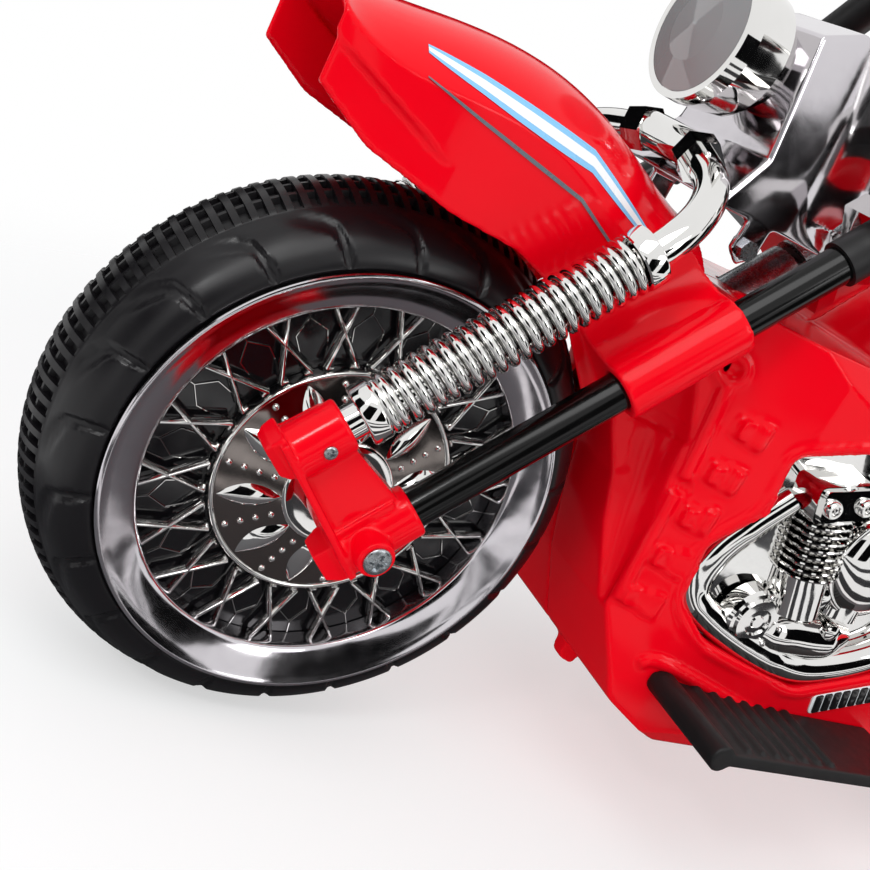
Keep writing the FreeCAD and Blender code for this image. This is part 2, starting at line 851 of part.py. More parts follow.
def bracket_screws():
    """Small cross-head screws on the webs of the brackets, beside the front lobes."""
    screws = []
    outer = mm.fork_half_track + mm.bracket_web / 2
    for name, side in SIDES:
        foot = outer if side > 0 else -outer - mm.screw_head
        screws.append(cylinder(f"bracket_screw_{name}", mm.screw_radius, mm.screw_head,
                               at(FORK, mm.spring_lead - mm.bracket_lobe - 1, foot, 6, ALONG_Y)))
    keep(group("bracket_screws", *screws), "bracket_screws")


# Stations of the fender along the bike from the axle: x, lower edge, crown, share of the half width
FENDER_STATIONS = (
    (-146, 162, 212, 0.9),
    (-104, 130, 226, 1.0),
    (-40, 167, 248, 1.0),
    (35, 190, 250, 1.0),
    (112, 222, 244, 0.82),
)


def fender_section(x, low, crown, half, inset):
    """Arched section across the fender: straight sides under a round crown."""
    top = crown - inset
    side = half - inset
    shoulder = low + (top - low) * 0.52
    corners = [V(x, -side, low), V(x, -side, shoulder), V(x, side, shoulder), V(x, side, low)]
    crown_arc = Part.Arc(corners[1], V(x, 0, top), corners[2]).toShape()
    return Part.Wire([
        Part.LineSegment(corners[0], corners[1]).toShape(), crown_arc,
        Part.LineSegment(corners[2], corners[3]).toShape(),
        Part.LineSegment(corners[3], corners[0]).toShape(),
    ])


def front_fender():
    """High fender with an open nose and a flared sleeve round each fork tube."""
    wall, half = mm.fender_wall, mm.fender_half_width
    outer = Part.makeLoft([fender_section(x, low, crown, half * share, 0)
                           for x, low, crown, share in FENDER_STATIONS], True, False)
    inner = Part.makeLoft([fender_section(x * 1.02, low - 1, crown, half * share, wall)
                           for x, low, crown, share in FENDER_STATIONS], True, False)
    below = prism([V(x * 1.02, -half * 2, low - 40) for x, low, crown, share in FENDER_STATIONS]
                  + [V(x * 1.02, -half * 2, low - 1) for x, low, crown, share in reversed(FENDER_STATIONS)],
                  V(0, half * 4, 0))
    shell = outer.cut(inner).cut(below)
    to_axle = FRONT_AXLE.inverse() * FORK
    bore = mm.fork_tube_radius + mm.seat_clearance
    outside = mm.fork_tube_radius + mm.sleeve_wall
    track = mm.fork_half_track
    for name, side in SIDES:
        foot = V(0, side * track, mm.sleeve_foot)
        wall_y = side * (half - wall)
        root_y = wall_y - side * wall / 2
        flare = Part.Face(Part.Wire([
            Part.LineSegment(V(-8, root_y, 0), V(-8, side * track, 0)).toShape(),
            Part.LineSegment(V(-8, side * track, 0), V(outside - 0.5, side * track, 0)).toShape(),
            Part.Arc(V(outside - 0.5, side * track, 0), V(outside + 6, side * (half + 9), 0),
                     V(48, wall_y, 0)).toShape(),
            Part.LineSegment(V(48, wall_y, 0), V(48, root_y, 0)).toShape(),
            Part.LineSegment(V(48, root_y, 0), V(-8, root_y, 0)).toShape(),
        ])).extrude(V(0, 0, mm.sleeve_length))
        flare.translate(V(0, 0, mm.sleeve_foot))
        barrel = Part.makeCylinder(outside, mm.sleeve_length, foot)
        sleeve = flare.fuse(barrel).cut(Part.makeCylinder(bore, mm.sleeve_length * 3,
                                                          foot - V(0, 0, mm.sleeve_length)))
        sleeve.Placement = to_axle
        shell = shell.fuse(sleeve.cut(inner))
    keep(solid("front_fender", shell.Solids[0], FRONT_AXLE), "front_fender")


# Steering head


def yoke_corners(half_gap):
    """Outline of a yoke plate in the fork frame."""
    track, reach, back = mm.fork_half_track, mm.fork_tube_radius + 8, mm.stem_offset
    half = [
        (-back - mm.stem_radius - 12, mm.stem_radius + 6),
        (-back + 6, mm.stem_radius + 22),
        (-reach, track + reach - 4),
        (reach, track + reach - 4),
        (reach, half_gap + 8),
        (-mm.cowl_setback, half_gap - 8),
    ]
    return half + [(u, -v) for u, v in reversed(half)]


def yoke(label, foot, half_gap):
    """Plate that joins the fork tubes to the stem."""
    track, back = mm.fork_half_track, mm.stem_offset
    plate = padded(label + "_plate", "XY_Plane", yoke_corners(half_gap), mm.yoke_thickness,
                   at(FORK, 0, 0, foot + mm.yoke_thickness / 2))
    bores = [cylinder(label + "_stem_bore", mm.stem_radius + mm.seat_clearance, mm.yoke_thickness * 2,
                      at(FORK, -back, 0, foot - mm.yoke_thickness / 2))]
    for name, side in SIDES:
        bores.append(cylinder(f"{label}_bore_{name}", mm.fork_tube_radius + mm.seat_clearance,
                              mm.yoke_thickness * 2, at(FORK, 0, side * track, foot - mm.yoke_thickness / 2)))
    return keep(cut(label, plate, *bores), label)


def steering_stem():
    """Stem with its bottom nut, turning in two bushes in the head tube."""
    back = -mm.stem_offset
    foot = mm.head_tube_foot - mm.gap_clearance - mm.stem_nut_height
    top = mm.top_yoke_foot + mm.yoke_thickness
    keep(cylinder("steering_stem", mm.stem_radius, top - foot, at(FORK, back, 0, foot)), "steering_stem")
    keep(ring("stem_nut", mm.stem_radius + 7, mm.stem_radius + mm.seat_clearance, mm.stem_nut_height,
              at(FORK, back, 0, foot)), "stem_nut")
    bush_outer = mm.head_tube_radius - 4
    keep(ring("head_tube", mm.head_tube_radius, bush_outer + mm.seat_clearance, mm.head_tube_length,
              at(FORK, back, 0, mm.head_tube_foot)), "head_tube")
    bushes = []
    for name, height in (("lower", mm.head_tube_foot),
                         ("upper", mm.head_tube_foot + mm.head_tube_length - mm.head_bush_length)):
        bushes.append(ring(f"head_bush_{name}", bush_outer, mm.stem_radius + mm.running_clearance,
                           mm.head_bush_length, at(FORK, back, 0, height)))
    keep(group("head_bushes", *bushes), "head_bushes")


# Side outline of the cowl from the axle: x, z
COWL_OUTLINE = ((-125, 229), (-213, 229), (-219, 232), (-268, 291), (-255, 338), (-175, 345), (-146, 332),
                (-146, 262))
TAB_OUTLINE = ((-171, 232), (-152, 232), (-150, 211), (-160, 204), (-170, 211))
TAB_BOLT = (-160, 214)


def yoke_room(foot, half_gap):
    """Room for a yoke with its stem, with clearance all round."""
    gap = mm.gap_clearance
    face = outline_face([V(u, v, foot - gap) for u, v in yoke_corners(half_gap)])
    face = Part.Face(face.OuterWire.makeOffset2D(gap))
    return face.extrude(V(0, 0, mm.yoke_thickness + 2 * gap))


def steering_cowl(half_gap, bridge_rise):
    """Chrome cowl ahead of the stem, with a bolted tab under each side."""
    half, wall = mm.cowl_half_width, mm.cowl_wall
    outer = prism([V(x, -half, z) for x, z in COWL_OUTLINE], V(0, half * 2, 0))
    face = outline_face([V(x, -half + wall, z) for x, z in COWL_OUTLINE])
    inner = Part.Face(face.OuterWire.makeOffset2D(-wall)).extrude(V(0, half * 2 - wall * 2, 0))
    shell = outer.cut(inner)
    bolts = []
    for name, side in SIDES:
        tab = prism([V(x, side * half, z) for x, z in TAB_OUTLINE], V(0, -side * mm.tab_thickness, 0))
        shell = shell.fuse(tab)
    gap = mm.gap_clearance
    to_axle = FRONT_AXLE.inverse() * FORK
    rooms = [yoke_room(mm.yoke_foot, half_gap), yoke_room(mm.top_yoke_foot, half_gap),
             Part.makeCylinder(mm.stem_radius + gap, 500, V(-mm.stem_offset, 0, 150)),
             Part.makeCylinder(mm.bridge_hex + gap, 400, V(mm.spring_lead, -200, bridge_rise), V(0, 1, 0))]
    for room in rooms:
        room.Placement = to_axle * room.Placement
        shell = shell.cut(room)
    for name, side in SIDES:
        bolt = doc.addObject("Part::Prism", f"tab_bolt_{name}")
        bolt.Polygon = 6
        bind(bolt, "Circumradius", mm.bolt_head)
        bind(bolt, "Height", mm.bolt_radius + 1)
        foot = half if side > 0 else -half - mm.bolt_radius - 1
        bolt.Placement = at(FRONT_AXLE, TAB_BOLT[0], foot, TAB_BOLT[1], ALONG_Y)
        bolts.append(bolt)
    largest = max(shell.Solids, key=lambda s: s.Volume)
    keep(solid("steering_cowl", largest, FRONT_AXLE), "steering_cowl")
    keep(group("tab_bolts", *bolts), "tab_bolts")


def headlight():
    """Round headlight on the front of the cowl: turned shell and lens."""
    radius, depth = mm.headlight_radius, mm.headlight_depth
    face_x, centre_z = COWL_OUTLINE[-1][0], 306
    place = at(FRONT_AXLE, face_x, 0, centre_z, FreeCAD.Rotation(V(0, 0, 1), -90))
    rim = radius - 4
    keep(revolved("headlight_shell", [
        (0, 0), (radius * 0.62, 0), (radius * 0.9, depth * 0.3), (radius, depth * 0.8), (radius, depth),
        (rim, depth), (rim, depth - mm.lens_thickness), (0, depth - mm.lens_thickness),
    ], place), "headlight_shell")
    lens_rim = rim - mm.gap_clearance
    keep(revolved("headlight_lens", [
        (0, depth - mm.lens_thickness), (lens_rim, depth - mm.lens_thickness), (lens_rim, depth),
        (lens_rim * 0.55, depth + 4), (0, depth + 6),
    ], place), "headlight_lens")


def handlebar():
    """Bent bar in a clamp on the upper yoke, with grips."""
    half = mm.bar_half_width
    clamp_z = mm.top_yoke_foot + mm.yoke_thickness
    run = [V(-30, 0, clamp_z + 22), V(-30, 74, clamp_z + 22), V(8, 152, clamp_z + 152),
           V(-70, half, clamp_z + 116)]
    points = [V(p.x, -p.y, p.z) for p in reversed(run[1:])] + run[1:]
    keep(solid("handlebar", swept(bent_path(points, 34), mm.bar_radius), FORK), "handlebar")
    bore = mm.bar_radius + mm.seat_clearance
    inward = (run[2] - run[3]).normalize()
    grips = []
    for name, side in SIDES:
        end = V(run[3].x, side * run[3].y, run[3].z)
        back = V(inward.x, side * inward.y, inward.z)
        turn = FreeCAD.Rotation(V(0, 0, 1), back)
        label = f"grip_{name}"
        sleeve = cylinder(label + "_sleeve", mm.grip_radius, mm.grip_length + 5,
                          at(FORK, *(end - back * 5), turn))
        hole = cylinder(label + "_bore", bore, mm.grip_length + 5, at(FORK, *end, turn))
        grips.append(cut(label, sleeve, hole))
    keep(group("grips", *grips), "grips")
    block = box("clamp_block", 46, 110, 40, at(FORK, -30, 0, clamp_z))
    hole = cylinder("clamp_bore", bore, 200, at(FORK, -30, -100, clamp_z + 22, ALONG_Y))
    keep(cut("bar_clamp", block, hole), "bar_clamp")
    return clamp_z + 40


def console(foot):
    """Control box on the bar clamp, with two push buttons in bores."""
    case = box("console_case", mm.console_length, mm.console_width, mm.console_height,
               at(FORK, -30, 0, foot))
    depth = mm.console_height - 6
    holes = []
    for label, side in (("horn_button", 1), ("sound_button", -1)):
        y = side * mm.console_width / 4
        holes.append(cylinder(label + "_hole", mm.button_radius + mm.gap_clearance, depth + 1,
                              at(FORK, -30, y, foot + 6)))
        keep(cylinder(label, mm.button_radius, depth - mm.button_travel - 0.5 + mm.button_proud,
                      at(FORK, -30, y, foot + 6 + mm.button_travel + 0.5)), label)
    keep(cut("control_console", case, *holes), "control_console")


# Body


def body_outlines():
    """Side, plan and front outlines of the body as polygons."""
    low, neck, tank, seat = mm.body_bottom, mm.neck_top, mm.tank_top, mm.seat_line
    wide = mm.body_half_width
    well = mm.tyre_radius + mm.well_gap
    tank_front = AXLE_X - mm.neck_length
    tank_back = REAR_X + mm.seat_back + mm.seat_length + 17
    span = tank_front - tank_back
    side = [(AXLE_X - r * math.cos(math.radians(a)), mm.tyre_radius + r * math.sin(math.radians(a)))
            for r, a in ((mm.tyre_radius + mm.chin_reach, -5), (well, 10), (well, 20), (well, 31))]
    side += [
        (AXLE_X - mm.neck_setback + 10, neck - 65), (AXLE_X - mm.neck_setback, neck - 37),
        (AXLE_X - mm.neck_setback, neck), (tank_front, neck), (tank_front - span * 0.31, tank - 12),
        (tank_front - span * 0.5, tank), (tank_front - span * 0.78, tank - 16), (tank_back, seat),
        (REAR_X + 30, seat), (REAR_X - 22, seat + 34), (REAR_X - 39, seat - 8), (REAR_X - 39, low + 33),
        (REAR_X + 27, low), (AXLE_X - mm.neck_length, low), (AXLE_X - mm.tyre_radius - 58, low + 30),
    ]
    front = AXLE_X - well
    plan = [
        (front + 30, wide - 78), (front + 19, wide - 52), (front - 10, wide - 38), (front - 36, wide - 25),
        (front - 69, wide - 14), (front - 137, wide), (REAR_X + 107, wide), (REAR_X - 40, wide - 17),
    ]
    plan = plan + [(x, -y) for x, y in reversed(plan)]
    end = [
        (wide - 26, low - 1), (wide + 1, low + 34), (wide + 1, seat - 24), (wide - 30, seat + 26),
        (wide - 56, tank + 1),
    ]
    end = end + [(-y, z) for y, z in reversed(end)]
    return side, plan, end


def scoop(side, grow):
    """Hollow beside the front wheel: two cones that meet, closing to a point at the chin."""
    level = mm.body_half_width - 40
    tip = V(AXLE_X - mm.tyre_radius - mm.chin_reach + 2, side * (level - 2), mm.tyre_radius - 14)
    waist = V(AXLE_X - mm.tyre_radius + 24, side * (level + 3), mm.tyre_radius + 95)
    top = V(AXLE_X - mm.tyre_radius + 34, side * (level - 2), mm.neck_top)
    rise, rest = waist - tip, top - waist
    lower = Part.makeCone(3 + grow, mm.scoop_radius + grow, rise.Length, tip, rise)
    upper = Part.makeCone(mm.scoop_radius + grow, mm.scoop_top + grow, rest.Length, waist, rest)
    return lower.fuse(upper)


def body_block(inset):
    """Body volume where its three outlines meet, taken in by an inset from every face."""
    side, plan, end = body_outlines()
    reach = mm.wheelbase * 2
    blocks = []
    for points, radius, along in (
        ([V(x, -reach / 2, z) for x, z in side], mm.side_round, V(0, reach, 0)),
        ([V(x, y, 0) for x, y in plan], mm.plan_round, V(0, 0, reach)),
        ([V(-reach, y, z) for y, z in end], mm.shoulder_round, V(2 * reach, 0, 0)),
    ):
        face = rounded_face(points, radius)
        if inset:
            face = Part.Face(face.OuterWire.makeOffset2D(-inset))
        blocks.append(face.extrude(along))
    block = blocks[0].common(blocks[1]).common(blocks[2])
    for name, hand in SIDES:
        block = block.cut(scoop(hand, inset))
    return block


def window_outline():
    """Side outline of the engine window: x, z."""
    return [(AXLE_X - back, mm.tyre_radius + rise) for back, rise in WINDOW_PLACES]


# Engine window as distances behind and above the front axle
WINDOW_PLACES = ((284, 142), (240, 122), (246, 83), (224, 50), (229, 10), (257, -10), (345, -24), (420, 4),
                 (438, 70), (410, 130), (350, 148))


def window_prism(side, grow):
    """Prism of the engine window through one side of the body."""
    face = outline_face([V(x, side * 30, z) for x, z in window_outline()])
    if grow:
        face = Part.Face(face.OuterWire.makeOffset2D(grow))
    return face.extrude(V(0, side * 120, 0))


# Pads of the strap and screw pockets as distances behind and above the front axle
PAD_COLUMNS = ((204, 0, 1.0, 1.0), (213, 0, 0.7, 1.3))
POCKET_PLACES = ((181, 152), (193, 76))


def strap_pads(side):
    """Two columns of raised pads down the strap between the scoop and the window."""
    pads = []
    for back, rise, wide, high in PAD_COLUMNS:
        length, height = mm.pad_size * wide, mm.pad_size * high
        for number in range(STRAP_PADS):
            corner = V(AXLE_X - back - length / 2, 0 if side > 0 else -mm.body_half_width * 2,
                       mm.tyre_radius + rise + number * mm.pad_pitch - height / 2)
            pads.append(Part.makeBox(length, mm.body_half_width * 2, height, corner))
    return pads


def body_shells():
    """Two hollow halves of the body with pockets for the engine inserts."""
    wall = mm.body_wall
    outer = body_block(0)
    core = body_block(wall)
    deep = body_block(mm.pocket_depth + mm.insert_thickness)
    shell = outer.cut(core)
    skin = outer.cut(deep)
    raised = body_block(-mm.pad_rise).cut(core)
    sunk = outer.cut(body_block(mm.screw_pocket))
    for name, side in SIDES:
        for pad in strap_pads(side):
            shell = shell.fuse(pad.common(raised))
        for back, rise in POCKET_PLACES:
            place = V(AXLE_X - back, 0, mm.tyre_radius + rise)
            pocket = Part.makeCylinder(mm.screw_radius + 1.5, mm.body_half_width * 2, place, V(0, side, 0))
            shell = shell.cut(pocket.common(sunk))
    for name, side in SIDES:
        hole = window_prism(side, 0)
        rim = window_prism(side, wall).common(skin)
        shell = shell.fuse(rim).cut(hole)
    axis = at(FORK, -mm.stem_offset, 0, 0)
    neck_hole = Part.makeCylinder(mm.head_tube_radius + mm.gap_clearance, 600, V(0, 0, 150))
    neck_hole.Placement = axis
    shell = shell.cut(neck_hole)
    sleeve_hole = Part.makeCylinder(mm.drive_sleeve_radius + mm.gap_clearance, 800,
                                    V(REAR_X, -400, mm.rear_radius), V(0, 1, 0))
    shell = shell.cut(sleeve_hole)
    socket = Part.makeCylinder(mm.socket_radius + mm.seat_clearance, mm.body_half_width,
                               V(SOCKET_X, mm.body_half_width / 2, SOCKET_Z), V(0, 1, 0))
    shell = shell.cut(socket)
    recess = mm.screw_radius + mm.gap_clearance
    for x, y in belly_screw_places():
        shell = shell.cut(Part.makeCylinder(recess, SCREW_RECESS, V(x, y, mm.body_bottom)))
    for name, side in SIDES:
        reach = mm.wheelbase * 2
        half = Part.makeBox(2 * reach, reach, reach, V(-reach, 0 if side > 0 else -reach, 0))
        piece = shell.common(half)
        largest = max(piece.Solids, key=lambda s: s.Volume)
        label = f"body_{name}"
        keep(solid(label, largest), label)


SOCKET_X, SOCKET_Z = -150, 250
SCREW_RECESS = mm.screw_head + mm.gap_clearance


def belly_screw_places():
    """Places of the screws on the belly: x, y."""
    return [(x, side * 30) for x in (AXLE_X - 320, AXLE_X - 460, REAR_X + 120) for name, side in SIDES]


def engine_insert(name, side):
    """Chrome engine front: a plate with two finned barrels, a crescent cover and a round air cleaner."""
    gap = mm.gap_clearance
    room = window_prism(side, -gap)
    plate = room.common(body_block(mm.pocket_depth).cut(body_block(mm.pocket_depth + mm.insert_thickness)))
    level = side * (mm.body_half_width - mm.pocket_depth - mm.insert_thickness)

    def spot(back, rise, out=0):
        return V(AXLE_X - back, level + side * out, mm.tyre_radius + rise)

    crank = spot(312, 26)
    parts = []
    for lean in (20, -14):
        barrel = Part.makeCone(mm.fin_radius * 0.75, mm.fin_radius * 0.62, mm.barrel_length)
        for number in range(ENGINE_FINS):
            foot = mm.barrel_length * 0.4 + number * 2.2 * mm.fin_thickness
            barrel = barrel.fuse(Part.makeCylinder(mm.fin_radius, mm.fin_thickness, V(0, 0, foot)))
        barrel.Placement = FreeCAD.Placement(crank, FreeCAD.Rotation(V(0, 1, 0), lean))
        parts.append(barrel)
    cleaner = Part.makeSphere(mm.cleaner_radius)
    squash = FreeCAD.Matrix()
    squash.scale(V(1, (mm.pocket_depth + 3) / mm.cleaner_radius, 1))
    cleaner = cleaner.transformGeometry(squash)
    cleaner.translate(spot(372, 72))
    parts.append(cleaner)
    crescent = Part.Arc(spot(240, -2, 4), spot(250, 50, 4), spot(296, 92, 4)).toShape()
    parts.append(swept(Part.Wire([crescent]), mm.crescent_radius))
    sump = Part.Arc(spot(246, -2, 3), spot(300, -12, 3), spot(352, 4, 3)).toShape()
    parts.append(swept(Part.Wire([sump]), mm.crescent_radius * 1.2))
    parts.append(Part.makeCylinder(mm.fin_radius, mm.pocket_depth, spot(278, 18), V(0, side, 0)))
    relief = parts[0].multiFuse(parts[1:]).common(window_prism(side, -6)).common(body_block(1))
    behind = room.common(body_block(mm.pocket_depth + mm.insert_thickness))
    shape = plate.fuse(relief.cut(behind))
    return solid(f"engine_{name}", max(shape.Solids, key=lambda s: s.Volume))


def footboard(name, side):
    """Ribbed footboard with a round front bar, on the side of the body."""
    label = f"footboard_{name}"
    front = AXLE_X - mm.footboard_lead
    high, thick = mm.footboard_top, mm.footboard_thickness
    near, far = mm.body_half_width - 40, mm.body_half_width + mm.footboard_reach
    back = front - mm.footboard_length
    plate = Part.makeBox(mm.footboard_length, far - near, thick, V(back, near, high - thick))
    bar = Part.makeCylinder(thick, far - near, V(front, near, high - thick / 2), V(0, 1, 0))
    shape = plate.fuse(bar)
    for number in range(FOOTBOARD_RIBS):
        x = front - 26 - number * mm.rib_pitch
        rib = Part.makeBox(mm.rib_width, far - near - 5, mm.rib_height + 1, V(x, near, high - 1))
        shape = shape.fuse(rib)
    if side < 0:
        shape = shape.mirror(V(0, 0, 0), V(0, 1, 0))
    shape = shape.cut(body_block(0))
    return keep(solid(label, max(shape.Solids, key=lambda s: s.Volume)), label)


# Stations of the saddle from its front: share of the length, of the height and of the half width
SEAT_STATIONS = ((0, 0.42, 0.55), (0.14, 0.6, 0.86), (0.42, 0.55, 1.0), (0.7, 0.82, 1.0), (0.92, 1.25, 0.9),
                 (1, 1.1, 0.8))


def seat():
    """Moulded saddle with a dished middle and a raised back, on the seat line of the body."""
    line, high, half = mm.seat_line, mm.seat_height, mm.seat_half_width
    front = REAR_X + mm.seat_back + mm.seat_length
    sections = [fender_section(front - mm.seat_length * along, line, line + high * rise, half * wide, 0)
                for along, rise, wide in SEAT_STATIONS]
    keep(solid("seat", Part.makeLoft(sections, True, False)), "seat")


def side_vents():
    """Black vent strips under the engine windows."""
    vents = []
    for name, side in SIDES:
        lean = FreeCAD.Rotation(V(0, 1, 0), mm.vent_angle)
        rise = mm.vent_length / 2 * math.sin(math.radians(mm.vent_angle)) + mm.vent_proud
        vents.append(box(f"side_vent_{name}", mm.vent_length, mm.vent_proud, mm.vent_height,
                         at(WORLD, AXLE_X - mm.vent_lead, side * (mm.body_half_width + mm.vent_proud / 2),
                            mm.footboard_top + rise, lean)))
    keep(group("side_vents", *vents), "side_vents")


# Rear end


def rear_wheels():
    """Two rear wheels with trims; the right one carries the drive sleeve."""
    half = mm.rear_tyre_width / 2
    bore = mm.rear_axle_radius + mm.running_clearance
    for name, side in SIDES:
        centre = at(REAR_AXLE, 0, side * (mm.rear_tyre_inner + half), 0)
        label = f"rear_tyre_{name}"
        hub_half = half - 2
        web = half - mm.rear_web_depth
        keep(tyre_blank(label, mm.rear_radius + mm.tread_depth, mm.rear_rim_radius, half,
                        web, mm.rear_hub_radius, hub_half, bore, half * 0.55, centre), label)
        trim = {"rim": mm.rear_rim_radius, "ring_width": mm.rear_ring_width, "half_width": half, "web": web,
                "disc": mm.rear_rim_radius * 0.5, "disc_height": mm.disc_height * 0.7,
                "hub": mm.rear_hub_radius, "hub_half": hub_half, "cap": mm.rear_cap_radius,
                "cap_eye": mm.rear_cap_eye, "petals": False}
        wheel_trim(f"rear_wheel_trim_{name}", trim, side, SPOKE_CROSSES // 2, centre)


def rear_axle():
    """Rear axle rod, its end caps, the left spacer and the right drive sleeve."""
    outer = mm.rear_tyre_inner + mm.rear_tyre_width + mm.gap_clearance
    reach = outer + 8
    keep(cylinder("rear_axle", mm.rear_axle_radius, reach * 2, at(REAR_AXLE, 0, -reach, 0, ALONG_Y)),
         "rear_axle")
    caps = []
    bore = mm.rear_axle_radius + mm.seat_clearance
    for name, side in SIDES:
        foot = outer if side > 0 else -outer - 8
        caps.append(ring(f"axle_cap_{name}", mm.cap_radius, bore, 8, at(REAR_AXLE, 0, foot, 0, ALONG_Y)))
    keep(group("axle_caps", *caps), "axle_caps")
    inside = mm.gearbox_width / 2
    start = mm.rear_tyre_inner + 2
    length = start - inside - 2 * mm.gap_clearance
    keep(ring("rear_spacer", mm.drive_sleeve_radius, bore, length - mm.gap_clearance,
              at(REAR_AXLE, 0, inside + mm.gap_clearance, 0, ALONG_Y)), "rear_spacer")
    keep(ring("drive_sleeve", mm.drive_sleeve_radius, mm.rear_axle_radius + mm.running_clearance, length,
              at(REAR_AXLE, 0, -start, 0, ALONG_Y)), "drive_sleeve")


def drive():
    """Gearbox on the rear axle, the motor on its front, and the battery on the floor of the body."""
    low = mm.body_bottom + mm.body_wall
    high = mm.rear_radius - mm.gearbox_height / 2
    case = box("gearbox_case", mm.gearbox_length, mm.gearbox_width, mm.gearbox_height,
               at(WORLD, REAR_X + 26, 0, high))
    hole = cylinder("gearbox_bore", mm.rear_axle_radius + mm.seat_clearance, mm.gearbox_width * 2,
                    at(REAR_AXLE, 0, -mm.gearbox_width, 0, ALONG_Y))
    keep(cut("gearbox", case, hole), "gearbox")
    nose = REAR_X + 26 + mm.gearbox_length / 2
    keep(cylinder("motor", mm.motor_radius, mm.motor_length, at(WORLD, nose, 0, mm.rear_radius, ALONG_X)),
         "motor")
    keep(box("battery", mm.battery_length, mm.battery_width, mm.battery_height,
             at(WORLD, -160, 0, low)), "battery")


def rear_fenders():
    """Arched guards over the rear wheels, on the sides of the body."""
    inner = mm.rear_radius + mm.rear_fender_gap
    outer = REAR_REACH
    near = mm.body_half_width - 30
    far = mm.rear_tyre_inner + mm.rear_tyre_width + 8
    arches = []
    for name, side in SIDES:
        section = outline_face([V(inner, side * near, 0), V(outer, side * near, 0), V(outer, side * far, 0),
                                V(inner - 16, side * far, 0), V(inner - 16, side * (far - 3), 0),
                                V(inner, side * (far - 3), 0)])
        arch = section.revolve(V(0, 0, 0), V(0, 1, 0), -155)
        arch.rotate(V(0, 0, 0), V(0, 1, 0), -30)
        arch.Placement = REAR_AXLE * arch.Placement
        arch = arch.cut(body_block(0))
        arches.append(solid(f"rear_fender_{name}", max(arch.Solids, key=lambda s: s.Volume)))
    keep(group("rear_fenders", *arches), "rear_fenders")


def body_screws():
    """Cross-head screws that join the body halves, sunk in the belly along the seam edges."""
    screws = []
    floor = mm.body_bottom + SCREW_RECESS
    for number, (x, y) in enumerate(belly_screw_places()):
        screws.append(cylinder(f"body_screw_{number}", mm.screw_radius, mm.screw_head,
                               at(WORLD, x, y, floor - mm.screw_head)))
    keep(group("body_screws", *screws), "body_screws")


def tail_lights():
    """Round tail lights on the back face of the body."""
    lights = []
    face = REAR_X - 39
    for name, side in SIDES:
        lights.append(cylinder(f"tail_light_{name}", mm.tail_light_radius, 8,
                               at(WORLD, face - 8, side * 52, 268, ALONG_X)))
    keep(group("tail_lights", *lights), "tail_lights")


# Controls


def throttle_pedal():
    """Foot pedal on the right footboard, hinged at the heel on a pin between two ears."""
    top = mm.footboard_top + mm.rib_height
    x = AXLE_X - mm.footboard_lead - 30 - mm.pedal_length
    y = -(mm.body_half_width + mm.footboard_reach / 2)
    pin_z = top + mm.pedal_thickness / 2 + 2
    lean = FreeCAD.Rotation(V(0, 1, 0), -mm.pedal_rise_angle)
    pivot = at(WORLD, x, y, pin_z, lean)
    heel = mm.pedal_thickness / 2
    plate = box("pedal_plate", mm.pedal_length, mm.pedal_width, mm.pedal_thickness,
                at(pivot, mm.pedal_length / 2 - heel, 0, -heel))
    bore = cylinder("pedal_bore", mm.pedal_pin_radius + mm.running_clearance, mm.pedal_width * 2,
                    at(pivot, 0, -mm.pedal_width, 0, ALONG_Y))
    keep(cut("throttle_pedal", plate, bore), "throttle_pedal")
    ears = []
    for name, side in SIDES:
        ears.append(box(f"pedal_ear_{name}", 14, 5, pin_z - mm.footboard_top + 7,
                        at(WORLD, x, y + side * (mm.pedal_width / 2 + 2.5 + mm.gap_clearance),
                           mm.footboard_top)))
    reach = mm.pedal_width / 2 + 5
    pin = cylinder("pedal_pin", mm.pedal_pin_radius, reach * 2, at(WORLD, x, y - reach, pin_z, ALONG_Y))
    keep(fuse("pedal_bracket", pin, *ears), "pedal_bracket")


def switches():
    """Two rocker switches on pins in one bezel on the right side of the body."""
    depth = mm.bezel_depth
    front = -mm.body_half_width - depth
    plate = box("bezel_plate", mm.bezel_length, depth, mm.bezel_height,
                at(WORLD, mm.bezel_place, front + depth / 2, mm.switch_level - mm.bezel_height / 2))
    room = mm.switch_length + 4
    pin_length = mm.switch_width + 8
    holes = []
    for label, x in (("direction_switch", mm.bezel_place + mm.bezel_length / 4),
                     ("power_switch", mm.bezel_place - mm.bezel_length / 4)):
        well = mm.switch_width + 2
        holes.append(box(label + "_well", room, depth, well,
                         at(WORLD, x, front + depth / 2 - 3, mm.switch_level - well / 2)))
        pin_y = front + depth / 2
        holes.append(cylinder(label + "_bore", mm.switch_pin + mm.running_clearance, pin_length + 1,
                              at(WORLD, x, pin_y, mm.switch_level - pin_length / 2 - 0.5)))
        half = mm.switch_length / 2
        corners = [(-half, 1), (-half, -depth / 2 - 3), (0, -depth / 2), (half, -depth / 2 - 3), (half, 1),
                   (4, 2.5), (-4, 2.5)]
        rocker = padded(label + "_rocker", "XY_Plane", corners, mm.switch_width,
                        at(WORLD, x, pin_y, mm.switch_level))
        pin = cylinder(label + "_pin", mm.switch_pin, pin_length,
                       at(WORLD, x, pin_y, mm.switch_level - pin_length / 2))
        keep(fuse(label, rocker, pin), label)
    keep(cut("switch_bezel", plate, *holes), "switch_bezel")


def charge_socket():
    """Round charge socket through the left side of the body."""
    outer = mm.body_half_width
    barrel = cylinder("socket_barrel", mm.socket_radius, 20,
                      at(WORLD, SOCKET_X, outer - 17, SOCKET_Z, ALONG_Y))
    hole = cylinder("socket_hole", mm.socket_radius - 3, 12,
                    at(WORLD, SOCKET_X, outer - 8, SOCKET_Z, ALONG_Y))
    keep(cut("charge_socket", barrel, hole), "charge_socket")


